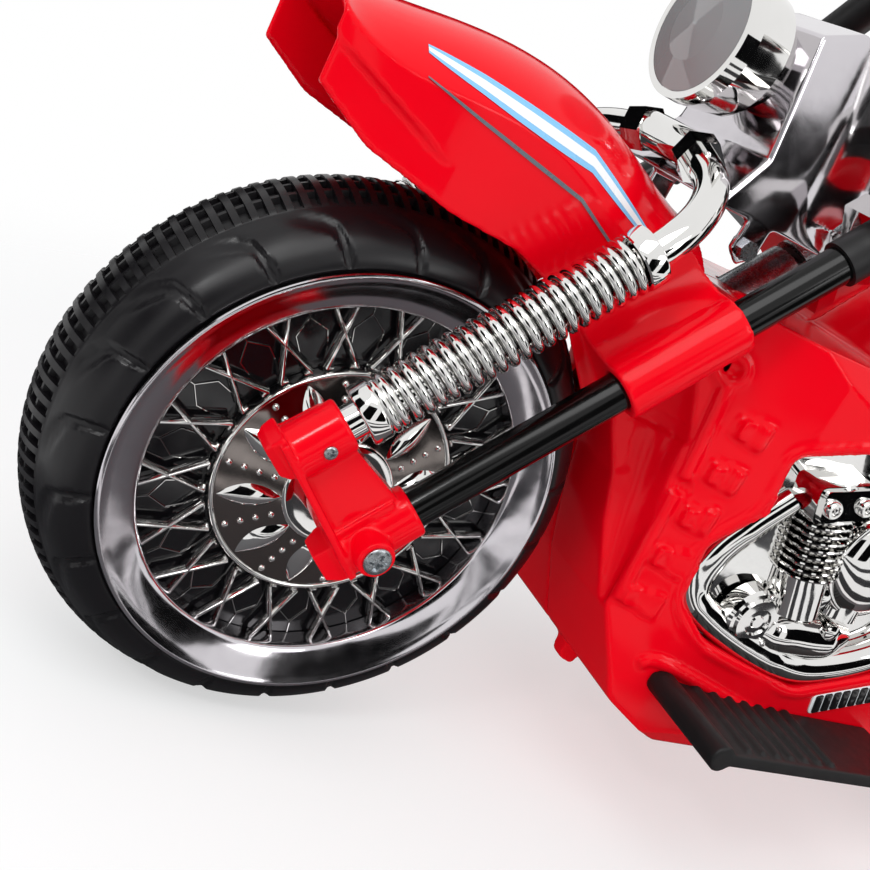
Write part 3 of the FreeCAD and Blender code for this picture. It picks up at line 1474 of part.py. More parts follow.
def failed(obj):
    """Whether an object failed or has no valid shape."""
    bad = [state for state in obj.State if state in ("Invalid", "Error")]
    return bool(bad) or obj.Shape.isNull() or not obj.Shape.isValid()


def main():
    """Build every piece, check it and write it."""
    front_wheel()
    front_axle()
    fork_tubes()
    bracket_screws()
    bridge_rise = springs()
    front_fender()
    half_gap = mm.cowl_half_width + 10
    yoke("lower_yoke", mm.yoke_foot, half_gap)
    yoke("upper_yoke", mm.top_yoke_foot, half_gap)
    steering_stem()
    steering_cowl(half_gap, bridge_rise)
    headlight()
    console(handlebar())
    body_shells()
    keep(group("engine_fronts", *[engine_insert(name, side) for name, side in SIDES]), "engine_fronts")
    for name, side in SIDES:
        footboard(name, side)
    seat()
    side_vents()
    rear_wheels()
    rear_axle()
    drive()
    rear_fenders()
    body_screws()
    tail_lights()
    throttle_pedal()
    switches()
    charge_socket()
    doc.recompute()
    shaped = [obj for obj in doc.Objects if obj.isDerivedFrom("Part::Feature")]
    bad = [obj.Label for obj in shaped if failed(obj)]
    if bad:
        raise RuntimeError("failed: " + ", ".join(bad))
    os.makedirs("parts", exist_ok=True)
    for obj in pieces:
        obj.Shape.exportStep(f"parts/{obj.Label}.step")
    print(len(pieces), "pieces")


main()
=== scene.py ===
import json
import logging
import math
from dataclasses import dataclass
from enum import Enum
from typing import Callable, Iterable, Optional, Sequence

import bmesh
import bpy
import numpy as np
from mathutils import Matrix, Vector
from mathutils.bvhtree import BVHTree


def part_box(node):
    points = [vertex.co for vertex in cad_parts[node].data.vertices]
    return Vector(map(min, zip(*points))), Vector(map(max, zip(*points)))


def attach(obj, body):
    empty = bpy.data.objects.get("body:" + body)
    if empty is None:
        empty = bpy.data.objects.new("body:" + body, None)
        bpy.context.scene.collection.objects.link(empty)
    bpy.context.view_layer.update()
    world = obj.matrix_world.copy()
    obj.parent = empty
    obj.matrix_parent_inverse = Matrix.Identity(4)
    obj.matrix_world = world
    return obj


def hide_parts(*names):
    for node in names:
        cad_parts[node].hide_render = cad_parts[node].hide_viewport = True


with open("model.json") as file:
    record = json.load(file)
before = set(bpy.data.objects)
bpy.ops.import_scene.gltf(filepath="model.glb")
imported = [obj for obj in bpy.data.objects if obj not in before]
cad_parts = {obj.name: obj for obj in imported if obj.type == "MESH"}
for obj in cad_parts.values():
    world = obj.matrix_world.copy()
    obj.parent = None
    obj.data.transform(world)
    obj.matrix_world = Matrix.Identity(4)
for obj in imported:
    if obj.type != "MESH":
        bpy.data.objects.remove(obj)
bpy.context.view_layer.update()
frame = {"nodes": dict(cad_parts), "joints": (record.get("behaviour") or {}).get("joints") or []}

logging.basicConfig(level=logging.INFO, format="%(name)s: %(message)s")
LOG = logging.getLogger("motorbike")

MM = 0.001
RAKE = math.radians(39.5)
AHEAD = np.array((math.cos(RAKE), 0.0, math.sin(RAKE)))
ALONG = np.array((-math.sin(RAKE), 0.0, math.cos(RAKE)))
LEFT = np.array((0.0, 1.0, 0.0))
# Reach beyond the bike's sides, in millimetres.
OUTSIDE = 400.0


def pivot(joint: str) -> np.ndarray:
    """Place of a joint in the bike's middle plane, in millimetres."""
    place = next(row["pos_m"] for row in frame["joints"] if row["name"] == joint)
    return np.array((place[0], 0.0, place[2])) / MM


AXLE = pivot("front_wheel_spin")
REAR = pivot("rear_wheel_left_spin")


class Side(Enum):
    """Side of the bike, as the rider sits."""

    LEFT = 1
    RIGHT = -1

    @property
    def word(self) -> str:
        """Lower-case word used in names."""
        return self.name.lower()


def fork(points: Sequence) -> np.ndarray:
    """World points of places given as (ahead, left, up the tubes) from the front axle."""
    uvw = np.asarray(points, float)
    return AXLE + uvw[..., 0:1] * AHEAD + uvw[..., 1:2] * LEFT + uvw[..., 2:3] * ALONG


def upright(places: Sequence, reach: object) -> np.ndarray:
    """World points of places ahead of and above the front axle, at a reach to the left."""
    flat = np.asarray(places, float)
    return np.stack([AXLE[0] + flat[:, 0], np.broadcast_to(reach, len(flat)), AXLE[2] + flat[:, 1]], -1)


def soft_step(low: float, high: float, value: np.ndarray) -> np.ndarray:
    """Smooth rise from 0 at low to 1 at high."""
    share = np.clip((np.asarray(value, float) - low) / (high - low), 0.0, 1.0)
    return share * share * (3.0 - 2.0 * share)


def smooth_line(knots: Sequence, count: int) -> np.ndarray:
    """Even samples of a smooth curve through knots.

    Args:
        knots: Points that the curve passes through.
        count: Number of samples.

    Returns:
        An array of sampled points.
    """
    p = np.asarray(knots, float)
    p = np.vstack([2 * p[0] - p[1], p, 2 * p[-1] - p[-2]])
    spans = len(p) - 3
    out = []
    for t in np.linspace(0, spans, count):
        i = min(int(t), spans - 1)
        f = t - i
        a, b, c, d = p[i:i + 4]
        out.append(0.5 * (2 * b + (c - a) * f + (2 * a - 5 * b + 4 * c - d) * f * f
                          + (3 * b - a - 3 * c + d) * f ** 3))
    return np.array(out)


def line_distance(x: np.ndarray, z: np.ndarray, line: Sequence) -> tuple[np.ndarray, np.ndarray]:
    """Distance of places in a plane from a broken line.

    Args:
        x: First coordinates of the places.
        z: Second coordinates of the places.
        line: Corners of the line.

    Returns:
        The distances, and the share along the line of the nearest point.
    """
    corners = np.asarray(line, float)
    best = np.full(np.shape(x), 1e9)
    share = np.zeros(np.shape(x))
    lengths = np.linalg.norm(np.diff(corners, axis=0), axis=1)
    before = 0.0
    for a, b, length in zip(corners, corners[1:], lengths):
        d = b - a
        t = np.clip(((x - a[0]) * d[0] + (z - a[1]) * d[1]) / (d @ d), 0, 1)
        gap = np.hypot(x - a[0] - t * d[0], z - a[1] - t * d[1])
        near = gap < best
        best = np.where(near, gap, best)
        share = np.where(near, (before + t * length) / lengths.sum(), share)
        before += length
    return best, share


def linear(code: str) -> tuple[float, float, float, float]:
    """Linear colour of an sRGB hex value, with an alpha of one."""
    parts = [int(code[i:i + 2], 16) / 255 for i in (0, 2, 4)]
    return tuple(c / 12.92 if c <= 0.04045 else ((c + 0.055) / 1.055) ** 2.4 for c in parts) + (1.0,)


def add_node(tree: bpy.types.NodeTree, kind: str, values: Optional[dict] = None,
             links: Optional[dict] = None, **settings: object) -> bpy.types.Node:
    """Add a node with its settings, values and links.

    Args:
        tree: Node tree that gets the node.
        kind: Blender's name of the node type.
        values: Values of input sockets by name or number.
        links: Sources of input sockets, each a node and the name of its output.
        settings: Properties of the node.

    Returns:
        The new node.
    """
    node = tree.nodes.new(kind)
    for key, value in settings.items():
        setattr(node, key, value)
    for key, value in (values or {}).items():
        node.inputs[key].default_value = value
    for key, (source, output) in (links or {}).items():
        tree.links.new(source.outputs[output], node.inputs[key])
    return node


def new_material(name: str) -> tuple[bpy.types.Material, bpy.types.NodeTree]:
    """Make a material with no nodes yet.

    Args:
        name: Name of the material.

    Returns:
        The material and its node tree.
    """
    made = bpy.data.materials.new(name)
    made.use_nodes = True
    made.node_tree.nodes.clear()
    return made, made.node_tree


# Size of the wear's patches, as a share of the pigment's.
WEAR_SHARE = 0.4


@dataclass(frozen=True)
class Finish:
    """One real material and how its surface was made.

    The two tints differ slightly, as pigment does in a moulding. Grain is the size of the surface's
    fine bumps, and ripple that of its slow waves, both in millimetres. A real grain finer than about
    half a millimetre wouldn't show in the render, so it is drawn that coarse or coarser.
    """

    name: str
    tint: str
    other_tint: str
    roughness: tuple[float, float]
    metallic: float = 0.0
    ior: float = 1.5
    mottle_mm: float = 30.0
    grain_mm: float = 0.6
    grain_depth_mm: float = 0.01
    ripple_mm: float = 25.0
    ripple_depth_mm: float = 0.0
    transmission: float = 0.0
    specular: float = 0.5

    def material(self) -> bpy.types.Material:
        """Material of this finish, made once and shared.

        Returns:
            The material.
        """
        found = bpy.data.materials.get(self.name)
        if found:
            return found
        made, tree = new_material(self.name)
        place = add_node(tree, "ShaderNodeTexCoord")
        sizes = {"mottle": (self.mottle_mm, 3.0), "wear": (self.mottle_mm * WEAR_SHARE, 4.0),
                 "grain": (self.grain_mm, 2.0)}
        if self.ripple_depth_mm:
            sizes["ripple"] = (self.ripple_mm, 1.0)
        noise = {}
        for key, (size_mm, detail) in sizes.items():
            values = {"Scale": 1 / (size_mm * MM), "Detail": detail}
            node = add_node(tree, "ShaderNodeTexNoise", values, {"Vector": (place, "Object")})
            noise[key] = (node, "Fac")
        tints = {"Color1": linear(self.tint), "Color2": linear(self.other_tint)}
        blend = add_node(tree, "ShaderNodeMixRGB", tints, {"Fac": noise["mottle"]})
        rough = add_node(tree, "ShaderNodeMapRange", {
            "From Min": 0.3, "From Max": 0.7, "To Min": self.roughness[0], "To Max": self.roughness[1],
        }, {"Value": noise["wear"]})
        normal = {}
        for key, depth_mm in (("grain", self.grain_depth_mm), ("ripple", self.ripple_depth_mm)):
            if depth_mm:
                bump = add_node(tree, "ShaderNodeBump", {"Strength": 1.0, "Distance": depth_mm * MM},
                                {"Height": noise[key], **normal})
                normal = {"Normal": (bump, "Normal")}
        shader = add_node(tree, "ShaderNodeBsdfPrincipled", {
            "Metallic": self.metallic, "IOR": self.ior, "Transmission Weight": self.transmission,
            "Specular IOR Level": self.specular,
        }, {"Base Color": (blend, "Color"), "Roughness": (rough, "Result"), **normal})
        add_node(tree, "ShaderNodeOutputMaterial", links={"Surface": (shader, "BSDF")})
        return made


# Moulded ABS with gloss from a polished tool: deep clear red with sharp highlights and faint flow waves.
RED_ABS = Finish("red_gloss_abs", "E40014", "EA0219", (0.1, 0.16), grain_mm=1.4, grain_depth_mm=0.004,
                 ripple_mm=60, ripple_depth_mm=0.06, mottle_mm=60, specular=0.16)
# Chrome plated over moulded ABS: mirror bright, and slightly wavy where the moulding sank.
CHROME = Finish("chrome_plated_abs", "E9E8E6", "DEDDDB", (0.03, 0.07), metallic=1.0, grain_mm=2.0,
                grain_depth_mm=0.002, ripple_mm=16, ripple_depth_mm=0.10)
# Chrome on the larger shells, where the plating is a little hazy, so that it mirrors softly.
HAZED_CHROME = Finish("hazed_chrome_plated_abs", "D6D2D6", "CAC6CB", (0.08, 0.14), metallic=1.0,
                      grain_mm=2.0, grain_depth_mm=0.002, ripple_mm=24, ripple_depth_mm=0.12)
# The hub disc's chrome plating, with its tint darkened as a painted reflection, so that it mirrors darker
# than the rim.
PAINTED_DARK_CHROME = Finish("smoked_chrome_plated_abs", "8E8682", "7C7470", (0.1, 0.16), metallic=1.0,
                       grain_mm=1.2, grain_depth_mm=0.004, ripple_mm=14, ripple_depth_mm=0.08)
# Blow-moulded HDPE of the tyre: black with a soft oily sheen and a fine tool grain.
TYRE_HDPE = Finish("black_moulded_hdpe", "0E0D0F", "151316", (0.28, 0.38), specular=0.3, grain_mm=0.5,
                   grain_depth_mm=0.012, ripple_mm=30, ripple_depth_mm=0.12, mottle_mm=45)
# Glossy black ABS of the wheel's web, behind the spokes.
BLACK_ABS = Finish("black_gloss_abs", "0D0C0E", "131215", (0.1, 0.18), grain_mm=1.0, grain_depth_mm=0.004,
                   ripple_mm=22, ripple_depth_mm=0.06)
# Black stoving lacquer on steel tube: long clean highlights with a faint orange peel.
BLACK_LACQUER = Finish("black_stoved_lacquer", "040404", "070707", (0.12, 0.18), specular=0.28,
                       grain_mm=1.6, grain_depth_mm=0.006, mottle_mm=50)
# Textured polypropylene of the footboards, grips and seat: matt black with a spark-eroded grain.
BLACK_PP = Finish("black_textured_polypropylene", "0F0E0F", "161516", (0.4, 0.52), grain_mm=0.9,
                  grain_depth_mm=0.04, mottle_mm=25, specular=0.3)
# Zinc-plated steel of screws and bolts: pale blue-grey with a worn satin face.
ZINC_STEEL = Finish("zinc_plated_steel", "B9BDC0", "9EA3A8", (0.2, 0.34), metallic=1.0, grain_mm=0.5,
                    grain_depth_mm=0.02, mottle_mm=4)
# Clear polycarbonate of the headlight lens: polished, and slightly bent by its mould.
CLEAR_PC = Finish("clear_polycarbonate", "F4F7F8", "EEF2F4", (0.02, 0.05), transmission=0.7, ior=1.58,
                  grain_mm=3, grain_depth_mm=0.004)
# Red PMMA of the tail lights: dyed deep, with a polished face.
TAIL_PMMA = Finish("red_transparent_pmma", "8E0410", "A20614", (0.04, 0.08), transmission=0.15, ior=1.49,
                   grain_mm=2, grain_depth_mm=0.006)
# Grey polypropylene of inner housings: satin, straight from a plain tool.
GREY_PP = Finish("grey_moulded_polypropylene", "8A8C8F", "7E8083", (0.38, 0.5), grain_mm=0.8,
                 grain_depth_mm=0.02, mottle_mm=20)
# Vinyl film of the fender's stripes and the vents' backing: even colour with a soft gloss.
VINYL_BLUE, VINYL_WHITE, VINYL_GREY = (
    Finish(f"{tone}_vinyl_film", tint, other_tint, (0.25, 0.32), mottle_mm=18, grain_mm=0.7)
    for tone, tint, other_tint in (("light_blue", "7DBBE6", "86C2EA"), ("white", "F2F4F6", "ECEFF2"),
                                   ("grey", "5A626B", "636B74")))


# Meshes


class Skin:
    """Points and faces of one piece, gathered in millimetres."""

    def __init__(self) -> None:
        """Start with nothing."""
        self.points: list[np.ndarray] = []
        self.faces: list[tuple[int, ...]] = []
        self.count = 0

    def add(self, points: np.ndarray, faces: Iterable[Sequence[int]]) -> None:
        """Add points and the faces between them.

        Args:
            points: World points.
            faces: Faces as numbers of these points.
        """
        points = np.asarray(points, float).reshape(-1, 3)
        start = self.count
        self.points.append(points)
        self.faces.extend(tuple(int(i) + start for i in face) for face in faces)
        self.count += len(points)

    def grid(self, rows: np.ndarray, close_rows: bool = False, close_columns: bool = False) -> None:
        """Add a sheet of quads.

        Args:
            rows: World points as an array of rows and columns.
            close_rows: Whether the last row joins the first.
            close_columns: Whether the last column joins the first.
        """
        rows = np.asarray(rows, float)
        m, n = rows.shape[:2]
        i = np.arange(m if close_rows else m - 1)
        j = np.arange(n if close_columns else n - 1)
        a, b = np.meshgrid(i, j, indexing="ij")
        c, d = (a + 1) % m, (b + 1) % n
        quads = np.stack([a * n + b, a * n + d, c * n + d, c * n + b], -1).reshape(-1, 4)
        self.add(rows, quads)

    def lathe(self, section: Sequence, centre: np.ndarray, axis: np.ndarray, steps: int = 96) -> None:
        """Add a turned surface.

        Args:
            section: Places as (radius, height along the axis).
            centre: World point on the axis at height zero.
            axis: Direction of the axis.
            steps: Number of steps round the axis.
        """
        section = np.asarray(section, float)
        one, two, up = cross_frame(axis)
        angles = np.linspace(0, math.tau, steps, endpoint=False)[:, None]
        around = np.cos(angles) * one + np.sin(angles) * two
        self.grid(np.asarray(centre, float) + section[None, :, 0, None] * around[:, None, :]
                  + section[None, :, 1, None] * up, close_rows=True)

    def loft(self, rings: np.ndarray) -> None:
        """Add a closed skin through rings of equal count, with flat ends.

        Args:
            rings: World points as an array of rings and places on them.
        """
        rings = np.asarray(rings, float)
        m, n = rings.shape[:2]
        first = self.count
        self.grid(rings, close_columns=True)
        self.faces.append(tuple(first + i for i in reversed(range(n))))
        self.faces.append(tuple(first + (m - 1) * n + i for i in range(n)))

    def tube(self, path: np.ndarray, radius: object, sides: int = 24, flat: float = 1.0) -> None:
        """Add a round bar along a path, with closed ends.

        Args:
            path: World points along the bar.
            radius: One radius, or one for each point.
            sides: Number of sides round the bar.
            flat: Share of the radius in the second direction across the bar.
        """
        path = np.asarray(path, float)
        radii = np.broadcast_to(np.asarray(radius, float), (len(path),))
        heading = np.gradient(path, axis=0)
        heading /= np.linalg.norm(heading, axis=1, keepdims=True)
        one = cross_frame(heading[0])[0]
        angles = np.linspace(0, math.tau, sides, endpoint=False)[:, None]
        rings = []
        for point, along, r in zip(path, heading, radii):
            one = one - along * (one @ along)
            one /= np.linalg.norm(one)
            two = np.cross(along, one)
            rings.append(point + r * (np.cos(angles) * one + flat * np.sin(angles) * two))
        self.loft(np.array(rings))

    def prism(self, outline: np.ndarray, along: np.ndarray) -> None:
        """Add a closed prism from an outline of world points to the same outline moved along."""
        self.loft(np.array([outline, outline + along]))

    def solid(self, node: str) -> None:
        """Add the surface of one of the frame's solids, by its name."""
        self.add(*node_surface(node))

    def mesh(self, name: str) -> bpy.types.Mesh:
        """Blender mesh of what was gathered, in metres.

        Args:
            name: Name of the mesh.

        Returns:
            The new mesh.
        """
        made = bpy.data.meshes.new(name)
        made.from_pydata((np.vstack(self.points) * MM).tolist(), [], self.faces)
        made.update()
        return made


def node_surface(node: str) -> tuple[np.ndarray, list[tuple[int, ...]]]:
    """Points in millimetres and faces of one of the frame's solids.

    Args:
        node: Name of the solid.

    Returns:
        Its points, and its faces as numbers of them.
    """
    mesh = frame["nodes"][node].data
    points = np.empty(len(mesh.vertices) * 3)
    mesh.vertices.foreach_get("co", points)
    return points.reshape(-1, 3) / MM, [tuple(face.vertices) for face in mesh.polygons]


def node_tree(node: str) -> BVHTree:
    """Search tree of a solid's surface, in millimetres."""
    points, faces = node_surface(node)
    return BVHTree.FromPolygons(points.tolist(), faces)


def flank(tree: BVHTree, x: float, z: float, side: float) -> float:
    """Reach of a surface to one side, where a line across the bike meets it.

    Args:
        tree: Search tree of the surface.
        x: Place ahead of the front axle.
        z: Place above the front axle.
        side: 1 on the left and -1 on the right.

    Returns:
        The reach from the middle of the bike, or 0 where the line misses.
    """
    start = Vector((AXLE[0] + x, side * OUTSIDE, AXLE[2] + z))
    hit = tree.ray_cast(start, Vector((0.0, -side, 0.0)))[0]
    return abs(hit.y) if hit else 0.0


def cross_frame(axis: Sequence) -> tuple[np.ndarray, np.ndarray, np.ndarray]:
    """Two directions across an axis, and the axis with length one.

    Args:
        axis: Direction of the axis.

    Returns:
        The three directions. About the bike's own left axis, the first is ahead and the second is up.
    """
    up = np.asarray(axis, float) / np.linalg.norm(axis)
    if abs(up[1]) > 0.99:
        return np.array((1.0, 0, 0)), np.array((0, 0, 1.0)), up
    one = np.cross((0.0, 1.0, 0.0), up)
    one /= np.linalg.norm(one)
    return one, np.cross(up, one), up


@dataclass(frozen=True)
class Shaping:
    """How a gathered skin becomes the finished surface of a piece."""

    bevel_mm: float = 0.0
    bevel_angle: float = 35.0
    voxel_mm: float = 0.0
    smoothing: int = 0
    sharp_angle: float = 40.0
    keep_share: float = 1.0


def settle(obj: bpy.types.Object, shaping: Shaping) -> None:
    """Apply a shaping to an object's mesh.

    Args:
        obj: Object whose mesh is replaced by the shaped one.
        shaping: Modifiers to apply and the angle above which edges stay sharp.
    """
    work = bmesh.new()
    work.from_mesh(obj.data)
    bmesh.ops.recalc_face_normals(work, faces=work.faces)
    work.to_mesh(obj.data)
    work.free()
    modifiers = (
        ("REMESH", shaping.voxel_mm, {"mode": "VOXEL", "voxel_size": shaping.voxel_mm * MM}),
        ("SMOOTH", shaping.smoothing, {"factor": 0.5, "iterations": shaping.smoothing}),
        ("DECIMATE", shaping.keep_share < 1, {"ratio": shaping.keep_share}),
        ("BEVEL", shaping.bevel_mm, {"width": shaping.bevel_mm * MM, "segments": 2, "limit_method": "ANGLE",
                                     "angle_limit": math.radians(shaping.bevel_angle)}))
    for kind, wanted, settings in modifiers:
        if wanted:
            modifier = obj.modifiers.new(kind.lower(), kind)
            for key, value in settings.items():
                setattr(modifier, key, value)
    if obj.modifiers:
        graph = bpy.context.evaluated_depsgraph_get()
        made = bpy.data.meshes.new_from_object(obj.evaluated_get(graph))
        obj.modifiers.clear()
        obj.data = made
    obj.data.polygons.foreach_set("use_smooth", [True] * len(obj.data.polygons))
    obj.data.set_sharp_from_angle(angle=math.radians(shaping.sharp_angle))


def place_piece(name: str, skin: Skin, finish: Finish, body: str, slot: str, nodes: Sequence[str] = (),
                **shaping: float) -> bpy.types.Object:
    """Make a piece of the bike and hang it on its body.

    Args:
        name: Name of the piece.
        skin: Its gathered surface.
        finish: Its material.
        body: Body that it moves with.
        slot: Material slot of the record. Not used.
        nodes: Solids that it stands for.
        shaping: Settings of its Shaping.

    Returns:
        The new object.
    """
    obj = bpy.data.objects.new(name, skin.mesh(name))
    bpy.context.scene.collection.objects.link(obj)
    settle(obj, Shaping(**shaping))
    obj.data.materials.clear()
    obj.data.materials.append(finish.material())
    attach(obj, body)
    if nodes:
        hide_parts(*nodes)
    LOG.info("%s: %d faces on %s", name, len(obj.data.polygons), body)
    return obj


def round_outline(corners: Sequence, radius: float, steps: int = 5) -> np.ndarray:
    """Closed outline with its corners rounded.

    Args:
        corners: Corners in a plane.
        radius: Largest radius of the rounding.
        steps: Points on each rounded corner.

    Returns:
        The rounded outline's points in the plane.
    """
    p = np.asarray(corners, float)
    out = []
    for before, corner, after in zip(np.roll(p, 1, 0), p, np.roll(p, -1, 0)):
        into, away = before - corner, after - corner
        li, la = np.linalg.norm(into), np.linalg.norm(away)
        reach = min(radius, li * 0.45, la * 0.45)
        a, b = corner + into / li * reach, corner + away / la * reach
        for t in np.linspace(0, 1, steps):
            out.append((1 - t) ** 2 * a + 2 * t * (1 - t) * corner + t * t * b)
    return np.array(out)


def round_box(middle: Sequence, half: Sequence, radius: float, steps: int = 5) -> np.ndarray:
    """Closed outline of a rectangle with rounded corners, from its middle and half lengths."""
    corners = np.array(((-1, -1), (1, -1), (1, 1), (-1, 1))) * half + np.asarray(middle, float)
    return round_outline(corners, radius, steps)


# Front wheel


@dataclass
class FrontWheel:
    """Front tyre with its chevrons and ladder tread, and the laced chrome trims.

    Bars of the trim are given as (width, level, lift).
    """

    radius: float = 164.0
    crown: float = 5.5
    tread_half: float = 22.0
    bars: int = 110
    bar_height: float = 4.6
    rib_share: float = 0.72
    shoulder: float = 22.6
    shoulder_radius: float = 158.0
    chevrons: int = 22
    groove_radius: float = 148.0
    groove_depth: float = 1.9
    groove_way: tuple[float, float] = (0.66, 0.75)
    groove_start: float = math.radians(4.0)
    crosses: int = 18
    cross_start: float = math.radians(8.0)
    spoke: tuple[float, float, float] = (3.6, 34.6, 3.0)
    spoke_foot: tuple[float, float, float] = (2.6, 34.2, 2.2)
    web_line: tuple[float, float, float] = (0.9, 28.4, 0.8)
    petals: int = 10
    petal_start: float = math.radians(15.8)
    petal_half_width: float = 7.4
    petal_rise: float = 4.2
    web: float = 28.2
    body: str = "front_wheel"
    # Half of the tyre's section from the shoulder inwards, as (side reach, radius).
    wall: tuple = (
        (24.5, 156.8), (27, 155.6), (29, 154.9), (31, 154), (32.6, 153.2), (34.2, 152.3), (35.7, 151.4),
        (37.2, 150.4), (38.7, 149.3), (40.1, 148.2), (41.4, 147), (42.6, 145.7), (43.7, 144.4),
        (44.8, 143), (45.7, 141.6), (46.5, 140.2), (47.2, 138.7), (47.8, 137.2), (48.3, 135.7),
        (48.5, 134.2), (48.2, 132.8), (47.2, 131.6), (45.4, 130.8), (44, 129.6), (43, 127), (30, 126.4),
        (28.2, 125), (28, 118), (28, 100), (28, 84), (28, 70), (28, 50), (28, 30))
    # Half of the tread from its edge to the middle, as (side reach, 1 on a rib and 0 between ribs).
    tread: tuple = (
        (23.6, 1), (22.9, 1), (22.3, 1), (20.8, 1), (20.2, 0), (16.5, 0), (12.2, 0), (11.6, 1),
        (9.6, 1), (9.0, 0), (5.0, 0), (1.6, 0), (1.0, 1))
    # One chevron groove of the sidewall, as (arc length, radius).
    chevron: tuple = (
        (0.0, 155.5), (14.0, 154.2), (24.0, 152.6), (29.0, 150.6), (31.2, 146.5), (33.4, 136.5))
    # Turned sections of the hub and the trim, as (radius, side reach).
    hub_bore: tuple = ((30, 28), (26.5, 30), (26, 44.6), (24.6, 46), (9.2, 46))
    rim_ring: tuple = (
        (126.6, 40), (127, 49), (130.6, 49), (131.3, 49.6), (131.4, 50.5), (130.9, 51.3), (129.8, 51.6),
        (128.7, 51.3), (128.0, 50.7), (124, 49.4), (118, 46.9), (113, 44.5), (110.6, 43.0),
        (109.4, 42.0), (108.8, 40.6), (108.6, 38), (108.4, 29), (126.6, 29), (126.6, 40))
    hub_edge: tuple = (
        (70.2, 29), (70.4, 36.4), (70.0, 37.6), (69.2, 38.2), (68.2, 38.0), (67.5, 37.2), (66.9, 36.4))
    hub_disc: tuple = (
        (67.5, 36.9), (66.4, 37.2), (60, 38.4), (52, 40.2), (44, 42.4), (36, 44.6), (31, 45.6))
    hub_cap: tuple = (
        (32.2, 45), (32.3, 46.4), (31.6, 47.2), (30, 47.4), (26, 46.9), (20, 46.4), (12, 46.3))
    stud: tuple = ((2.1, -0.3), (2.0, 0.5), (1.5, 1.2), (0.8, 1.6), (0.05, 1.75))

    def spin(self, r: np.ndarray, y: np.ndarray, phi: np.ndarray) -> np.ndarray:
        """World points at a radius, a side reach and an angle from straight ahead."""
        r, y, phi = np.broadcast_arrays(np.asarray(r, float), np.asarray(y, float), np.asarray(phi, float))
        return np.stack([AXLE[0] + r * np.cos(phi), AXLE[1] + y, AXLE[2] + r * np.sin(phi)], -1)

    def chevron_depth(self, r: float, phi: np.ndarray) -> np.ndarray:
        """Depth of the moulded chevron grooves on a sidewall.

        Args:
            r: Radius on the sidewall.
            phi: Angles from straight ahead.

        Returns:
            Depths in millimetres.
        """
        pitch = math.tau / self.chevrons
        local = np.mod(phi - self.groove_start, pitch)
        depth = np.zeros(phi.shape)
        for shift in (-pitch, 0.0):
            arc = (local - shift) * self.groove_radius
            gap, share = line_distance(arc, np.full(phi.shape, r), self.chevron)
            width = 1.5 + 1.1 * share
            cut = soft_step(-0.02, 0.5, share) * (1 - soft_step(width - 0.9, width + 0.7, gap))
            depth = np.maximum(depth, self.groove_depth * cut)
        return depth

    def sidewall(self, places: Sequence, phi: np.ndarray, side: Side) -> list[np.ndarray]:
        """Rows of points on one sidewall, with its grooves carved.

        Args:
            places: Places as (side reach, radius).
            phi: Angles from straight ahead.
            side: Side of the wheel.

        Returns:
            One row of world points for each place.
        """
        s, rows = side.value, []
        into_side, into_radius = self.groove_way
        for y, r in places:
            depth = self.chevron_depth(r, s * phi) if 132 < r < 157 else 0.0
            rows.append(self.spin(r - into_radius * depth, s * (y - into_side * depth), phi))
        return rows

    def tyre(self) -> None:
        """Build the tyre as one turned and carved surface."""
        share = np.array([0.0, 0.13, 0.25, 0.29, 0.5, 0.71, 0.75, 0.87])
        phi = ((np.arange(self.bars)[:, None] + share) / self.bars * math.tau).ravel()
        bar = np.tile(np.array([0, 0, 0, 1, 1, 1, 0, 0], float), self.bars)
        rows = self.sidewall(self.wall[::-1], phi, Side.LEFT)
        for y, rib in self.tread + tuple((-y, rib) for y, rib in self.tread[::-1]):
            top = self.radius - self.crown * (abs(y) / self.tread_half) ** 2.2
            floor = top - self.bar_height
            if abs(y) > self.shoulder:
                top = floor = self.shoulder_radius - (abs(y) - self.shoulder) * 0.9
            rows.append(self.spin(floor + (top - floor) * np.maximum(bar, self.rib_share * rib), y, phi))
        rows += self.sidewall(self.wall, phi, Side.RIGHT)
        skin = Skin()
        skin.grid(np.array(rows), close_columns=True)
        for side in Side:
            skin.lathe(self.hub_bore, AXLE, LEFT * side.value, 64)
        place_piece("tyre_front", skin, TYRE_HDPE, self.body, "tyre_black", ("front_tyre",), sharp_angle=38)

    def bar(self, skin: Skin, start: Sequence, end: Sequence, width: float, level: float, lift: float,
            side: float) -> None:
        """Add one ridged bar of the trim.

        Args:
            skin: Skin that gets the bar.
            start: Inner end as (radius, angle).
            end: Outer end as (radius, angle).
            width: Width across the bar.
            level: Reach of its base from the middle of the wheel.
            lift: Height of its ridge above the base.
            side: 1 on the left and -1 on the right.
        """
        ends = [np.array((r * math.cos(a), r * math.sin(a))) for r, a in (start, end)]
        run = ends[1] - ends[0]
        across = np.array((-run[1], run[0])) / np.linalg.norm(run)
        section = ((-0.5, -2.2), (-0.5, 0.0), (-0.16, 1.0), (0.16, 1.0), (0.5, 0.0), (0.5, -2.2))
        reach = [side * (level + lift * max(b, 0) + min(b, 0)) for _, b in section]
        skin.loft(np.array([upright([middle + across * width * a for a, _ in section], reach)
                            for middle in ends]))

